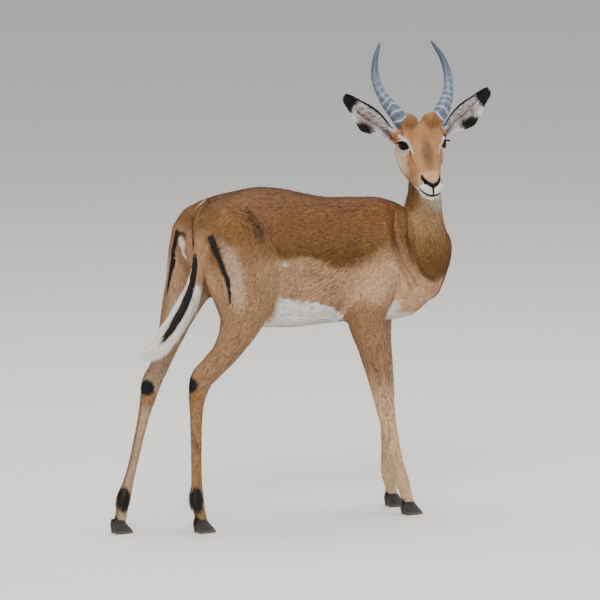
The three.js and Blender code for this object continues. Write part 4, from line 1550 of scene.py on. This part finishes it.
def grow_ear_hair(name, ear, count=900):
    """Long pale hair along both rims of the cup, lying over its hollow towards the tip."""
    share = random.uniform(0.1, 0.78, count)
    half, cup, droop = [np.interp(share, ear.leaf[:, 0], ear.leaf[:, k]) for k in (1, 2, 3)]
    rim = np.where(random.uniform(size=count) < 0.6, 1, -1)
    ratio = rim * random.uniform(0.35, 0.93, count)
    sideways = half * ratio * ear.turned + droop * ear.turned
    roots = ear.base + np.outer(share * EAR_LENGTH, ear.along) + np.outer(sideways, ear.lateral)
    roots -= np.outer(cup * (1 - ratio**2), ear.facing)
    inward = -rim * ear.turned * random.uniform(0.2, 0.8, count)
    way = ear.along * 0.9 + np.outer(inward, ear.lateral) + ear.facing * 0.22 + jitter(count, 0.1)
    across = unit(np.cross(way, ear.facing))
    tint = ear_inner(roots, share, ratio) * random.uniform(0.72, 1.05, (count, 1))
    tint = mix(tint, BLACK, ear_black(share + 0.05, ratio))
    length = random.uniform(0.010, 0.019, count)
    spots = 0.01 + 0.98 * np.stack([(ratio + 1) / 2, share], 1)
    bend = np.broadcast_to(ear.facing * -0.1, roots.shape)
    width = np.full(count, 0.9 * MM)
    return add_strands(name, roots, unit(way), bend, across, length, width, tint, spots, segments=3)


long_hair = []
for leg_name, rows in (("right", HIND_RIGHT), ("left", HIND_LEFT)):
    for place_name, away in (("outer", 1), ("inner", -1)):
        y_way = away * (-1 if leg_name == "right" else 1)
        centre = at_row(rows, 13, [-9, 13 * y_way, 4])
        tuft = [centre, [0.014, 0.012, 0.026], 420, 0.019, 1.3 * MM, [-0.25, 0.1 * y_way, -0.6], 0.35]
        long_hair.append(grow_on_skin(f"gland_{leg_name}_{place_name}", *tuft, BLACK))
    tuft = [at_row(rows, 15, [-17, 0, -4]), [0.012, 0.014, 0.016], 260, 0.013, 1.2 * MM]
    long_hair.append(grow_on_skin(f"heel_{leg_name}", *tuft, [-0.3, 0, -0.6], 0.25, BLACK))
for name, side in NAMED_SIDES:
    long_hair.append(grow_lashes(f"lashes_{name}", side))
    long_hair.append(grow_ear_hair(f"ear_hair_{name}", EARS[f"ear_{name}"]))
    crown_way = HEAD_TURN @ [0.1, 0.25 * side, 0.5]
    crown = head_to_row(np.array([-52, 31 * side, 36]) * MM)
    tuft = [crown, [0.024, 0.026, 0.024], 900, 0.010, 1.1 * MM, crown_way, 0.25]
    long_hair.append(grow_on_skin(f"crown_{name}", *tuft))
chin = head_to_row(np.array([124, 0, -60]) * MM)
long_hair.append(grow_on_skin("chin", chin, [0.02, 0.018, 0.016], 260, 0.009, 0.8 * MM, [0, 0, -0.5], 0.3))

lock = [[-0.096, -0.091, 0.7], [0.01, 0.02, 0.003], 24, 0.013, 1.1 * MM, [0.5, 0, -0.5], 0.4]
long_hair.append(grow_on_skin("flank_lock", *lock, WHITE))

# ---- Horns ----

HORN_LINE = [[-44, 31, 12], [-72, 60, 37], [-115, 85, 50], [-168, 98, 62], [-220, 92, 79], [-272, 70, 92]]
HORN_RADIUS = 17.5
HORN_TIP_RADIUS = 1.5
HORN_TAPER = 0.62
HORN_FLARE = 2
FLARE_SHARE = 0.16
FIRST_RING = 0.14  # share of the length at the first ring, and from each ring to the next
RING_SPACING = 0.074
HORN_SIDES = 40
HORN_STEPS = 190
HORN_GREY = colour(96, 107, 124)
HORN_PALE = colour(184, 196, 212)
HORN_DARK = colour(46, 50, 60)
HORN_TIP = colour(58, 71, 90)


def build_horn(name, side):
    t = np.linspace(0, 1, HORN_STEPS)
    line = spline([both_sides(p, side) for p in HORN_LINE], t * (len(HORN_LINE) - 1))
    taper = HORN_RADIUS * (1 - t) ** HORN_TAPER + HORN_TIP_RADIUS * t
    taper += HORN_FLARE * np.maximum(0, 1 - t / FLARE_SHARE) 
    taper += smooth(t, 0.02, 0.12) * (1.2 * (1 - t) + 3.6 * np.exp(-(((t - 0.17) / 0.22) ** 2)))
    ringed = np.clip(1.15 - 1.6 * t, 0, 1)
    collar = 1.2 * np.exp(-(((t - FIRST_RING) / 0.02) ** 2))
    along = unit(np.gradient(line, axis=0))
    front = np.array([0.75, 0.0, 0.66])
    across = unit(np.cross(along, front))
    ahead = np.cross(across, along)
    angle = np.arange(HORN_SIDES) * 2 * np.pi / HORN_SIDES
    points, tints, places = [], [], []
    for k in range(len(t)):
        facing = np.sin(angle)
        weight = 0.55 + 0.45 * facing
        wobble = 0.35 * np.sin(3 * angle + 5 * t[k] * 6)
        swing = 0.16 * np.sin(angle + 11 * t[k]) + 0.08 * np.sin(3 * angle + 23 * t[k])
        phase = (t[k] - FIRST_RING) / RING_SPACING + swing
        sharp = 1 - np.abs(np.sin(np.pi * phase)) ** 0.7 * 1.6
        radius = taper[k] + ((sharp * 2 + wobble) * ringed[k] + collar[k]) * weight
        ring = line[k] + np.outer(np.cos(angle) * radius, across[k]) + np.outer(facing * radius, ahead[k])
        points.append(ring)
        # painted shade in the grooves between the rings, stronger on the front
        groove = np.clip((0.1 - sharp) * 1.3 * ringed[k], 0, 1) * (0.4 + 0.6 * weight)
        fibres = np.sin(5 * angle + 4 * np.sin(8 * t[k])) + 0.8 * np.sin(11 * angle - 29 * t[k])
        fibres = smooth(fibres, -0.2, 1.6)
        tone = mix(HORN_GREY, HORN_PALE, fibres * 0.15 + fibres * 0.2 * smooth(t[k], 0.3, 0.5))
        # painted highlight on the rings' ridges, stronger on the front
        tone = mix(tone, HORN_PALE, smooth(sharp, 0.15, 0.7) * ringed[k] * (0.4 + 0.6 * weight) * 0.9)
        tone = mix(tone, HORN_TIP, np.full(HORN_SIDES, smooth(t[k], 0.42, 0.9)))
        # painted shade in the grooves
        tone = mix(tone, HORN_DARK, groove * 0.6)
        tone = mix(tone, HORN_DARK, np.full(HORN_SIDES, 1 - smooth(t[k], 0.06, 0.12)) * 0.9)
        tints.append(tone)
        places.append(np.stack([angle / (2 * np.pi), np.full(HORN_SIDES, t[k])], 1))
    rings, quads, fans = skin_rings(points, line[0] - along[0] * 2, line[-1] + along[-1] * 1.2)
    rings = head_to_row(rings * MM)
    thing = new_object(name, rings, [*quads.tolist(), *fans.tolist()], HORN_MATERIAL)
    tint = np.vstack([*tints, tints[0][:1], tints[-1][:1]])
    tint *= 1 + 0.08 * waves(rings, 0.006, 9)[:, None] + 0.06 * waves(rings, 0.02, 10)[:, None]
    set_tint(thing, np.clip(tint, 0, 1))
    circle = np.stack([np.cos(angle), np.sin(angle), angle * 0], 1) * 0.012
    grain = np.vstack([circle + Z_AXIS * s * 0.05 for s in t] + [[Z_AXIS * 0, Z_AXIS * 0.05]])
    set_strand(thing, grain)
    return thing


horns = {side: build_horn(f"horn_{name}_ringed", side) for name, side in NAMED_SIDES}

# ---- Eyes ----

EYE_STEPS = 50
EYE_SIDES = 64
IRIS = colour(24, 14, 9)
PUPIL = colour(8, 7, 8)
SCLERA = colour(26, 19, 17)


def build_eye(name, side):
    """Dark ball with a level, oval pupil, as a lathe about its gaze."""
    gaze = HEAD_TURN @ both_sides(GAZE, side)
    length = HEAD_TURN @ both_sides(EYE_LONG, side)
    high = np.cross(gaze, length)
    centre = head_to_row(both_sides(EYE, side))
    polar = np.linspace(0, np.pi, EYE_STEPS)[1:-1]
    angle = np.arange(EYE_SIDES) * 2 * np.pi / EYE_SIDES
    circle = np.outer(np.cos(angle), length) + np.outer(np.sin(angle), high)
    rings = []
    for a in polar:
        bulge = 1 + 0.05 * np.exp(-((a / 0.55) ** 2))
        rings.append(centre + (gaze * math.cos(a) + math.sin(a) * circle) * EYE_RADIUS * bulge)
    points, quads, fans = skin_rings(rings, centre + gaze * EYE_RADIUS * 1.05, centre - gaze * EYE_RADIUS)
    thing = new_object(name, points, [*quads[:, ::-1].tolist(), *fans[:, ::-1].tolist()], EYE_MATERIAL)
    offset = (points - centre) / EYE_RADIUS
    s, h, out = offset @ length, offset @ high, offset @ gaze
    round_iris = np.hypot(s, h)
    tint = mix(SCLERA, IRIS, (1 - smooth(round_iris, 0.66, 0.72)) * (out > 0))
    tint = mix(tint, PUPIL, (1 - smooth(np.hypot(s / 0.42, h / 0.27), 0.9, 1.05)) * (out > 0))
    set_tint(thing, tint)
    return thing


eyes = {side: build_eye(f"eyeball_{name}", side) for name, side in NAMED_SIDES}

# ---- Hooves ----

SOLE_LENGTH = 54
CLAW_HALF = 9
CLAW_SPACING = 10.5
CORONET = 36
HOOF = colour(44, 40, 38)
HOOF_WORN = colour(92, 84, 76)


def build_claw(name, sole, side):
    toe, heel = 0.6 * SOLE_LENGTH, 0.4 * SOLE_LENGTH
    x, y = sole
    middle = y + side * CLAW_SPACING
    rows = [
        [x, middle, 0, CLAW_HALF, toe, heel],
        [x - 2, middle, 10, CLAW_HALF + 0.5, toe - 5, heel - 1],
        [x - 6, middle, 23, CLAW_HALF, toe - 13, heel - 3],
        [x - 9, middle, CORONET, CLAW_HALF - 2, toe - 20, heel - 9],
    ]
    line = dense(rows, 12)
    angle = np.arange(40) * 2 * np.pi / 40
    power = 2 / ELLIPSE
    across = np.sign(np.cos(angle)) * np.abs(np.cos(angle)) ** power
    fore = np.sign(np.sin(angle)) * np.abs(np.sin(angle)) ** power
    rings = []
    for cx, cy, cz, half, front, back in line:
        edge = 1 - 0.06 * (1 - smooth(cz, 0, 2.5))
        ridge = 1 + 0.008 * math.sin(cz * 1.3)
        reach = fore * np.where(fore > 0, front, back) * edge * ridge
        ring = np.stack([cx + reach, cy + across * half * edge * ridge, np.full(40, cz)], 1)
        rings.append(draft_to_row(ring))
    points, quads, fans = skin_rings(rings, rings[0].mean(0), rings[-1].mean(0))
    thing = new_object(name, points, [*quads.tolist(), *fans.tolist()], HOOF_MATERIAL)
    tint = mix(HOOF, HOOF_WORN, 1 - smooth(points[:, 2], 0.001, 0.012))
    tint = mix(tint, BLACK, smooth(points[:, 2], 0.026, 0.034) * 0.7)
    set_tint(thing, tint * (1 + 0.1 * waves(points, 0.006, 12)[:, None]))
    grain = np.stack([points[:, 0], points[:, 1], points[:, 2] * 0.3], 1)
    set_strand(thing, grain)
    return thing


claws = {}
for leg_name, sole in SOLES.items():
    for place_name, side in (("outer", -1), ("inner", 1)):
        away = math.copysign(1, sole[1]) * -side
        claws[f"hoof_{leg_name}_{place_name}"] = build_claw(f"claw_{leg_name}_{place_name}", sole, away)

# ---- What rides and what it replaces ----

FLESH = ["trunk", "neck", "head", "tail", "ear_left", "ear_right"]
FLESH += [f"leg_{leg_name}_{half}" for leg_name in SOLES for half in ("upper", "lower")]
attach(skin, "root")
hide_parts(*FLESH)
for piece in [*coat, brush, *long_hair]:
    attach(piece, "root")
for name, side in NAMED_SIDES:
    for thing, node, slot in ((horns[side], f"horn_{name}", "horn"), (eyes[side], f"eye_{name}", "eye")):
        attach(thing, "root")
        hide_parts(node)
for node, claw in claws.items():
    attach(claw, "root")
    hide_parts(node)

# ---- Floor, light and camera ----

FLOOR_TONE = (0.9, 0.87, 0.82)
FLOOR_HALF = 60


def build_floor():
    """A pale floor that runs on past every view."""
    points = [[x * FLOOR_HALF, y * FLOOR_HALF, 0] for x, y in ((-1, -1), (1, -1), (1, 1), (-1, 1))]
    faces = [[0, 1, 2, 3]]
    material = bpy.data.materials.new("floor")
    material.use_nodes = True
    shader = material.node_tree.nodes["Principled BSDF"]
    shader.inputs["Base Color"].default_value = (*FLOOR_TONE, 1)
    shader.inputs["Roughness"].default_value = 0.9
    shader.inputs["Specular IOR Level"].default_value = 0.1
    floor = new_object("floor", np.array(points), faces, material)


LIGHTS = {  # place, aim, size, power and tint
    "key": ((-3.2, -4.2, 5.5), (0, 0, 0.6), 3.5, 330, (1, 0.97, 0.92)),
    "top": ((0.4, 0.6, 5.5), (0, 0, 0.5), 4, 210, (0.97, 0.98, 1)),
    "fill": ((4.5, -3.0, 2.5), (0.1, 0, 0.6), 3.5, 90, (0.95, 0.98, 1)),
}
WORLD_TINT = (0.93, 0.95, 1, 1)
WORLD_STRENGTH = 0.55


def add_area(name, place, aim, size, power, tint):
    light = bpy.data.lights.new(name, "AREA")
    light.shape = "DISK"
    light.size = size
    light.energy = power
    light.color = tint
    thing = bpy.data.objects.new(name, light)
    thing.location = place
    thing.rotation_euler = (Vector(aim) - Vector(place)).to_track_quat("-Z", "Y").to_euler()
    bpy.context.scene.collection.objects.link(thing)


CAMERA_AZIMUTH, CAMERA_ELEVATION, CAMERA_DISTANCE = 28, 8.5, 16
PIXELS_PER_METRE = 384.6
IMAGE_WIDTH = 600
ORIGIN_PIXEL = (290, 520)
SENSOR = 36


def build_camera():
    th, el = math.radians(CAMERA_AZIMUTH), math.radians(CAMERA_ELEVATION)
    back = np.array([-math.sin(th) * math.cos(el), -math.cos(th) * math.cos(el), math.sin(el)])
    right = np.array([math.cos(th), -math.sin(th), 0])
    up = np.cross(back, right)
    aside, below = [(pixel - IMAGE_WIDTH / 2) / PIXELS_PER_METRE for pixel in ORIGIN_PIXEL]
    eye = back * CAMERA_DISTANCE - right * aside + up * below - MODEL_CENTRE * MM
    data = bpy.data.cameras.new("camera")
    data.sensor_width = SENSOR
    data.lens = PIXELS_PER_METRE * CAMERA_DISTANCE * SENSOR / IMAGE_WIDTH
    data.clip_end = 100
    camera = bpy.data.objects.new("camera", data)
    turned = Matrix((right, up, back)).transposed().to_4x4()
    camera.matrix_world = Matrix.Translation(eye) @ turned
    bpy.context.scene.collection.objects.link(camera)
    bpy.context.scene.camera = camera


build_floor()
build_camera()
for name, settings in LIGHTS.items():
    add_area(name, *settings)
world = bpy.data.worlds.new("world")
world.use_nodes = True
background = world.node_tree.nodes["Background"]
background.inputs["Color"].default_value = WORLD_TINT
background.inputs["Strength"].default_value = WORLD_STRENGTH
bpy.context.scene.world = world
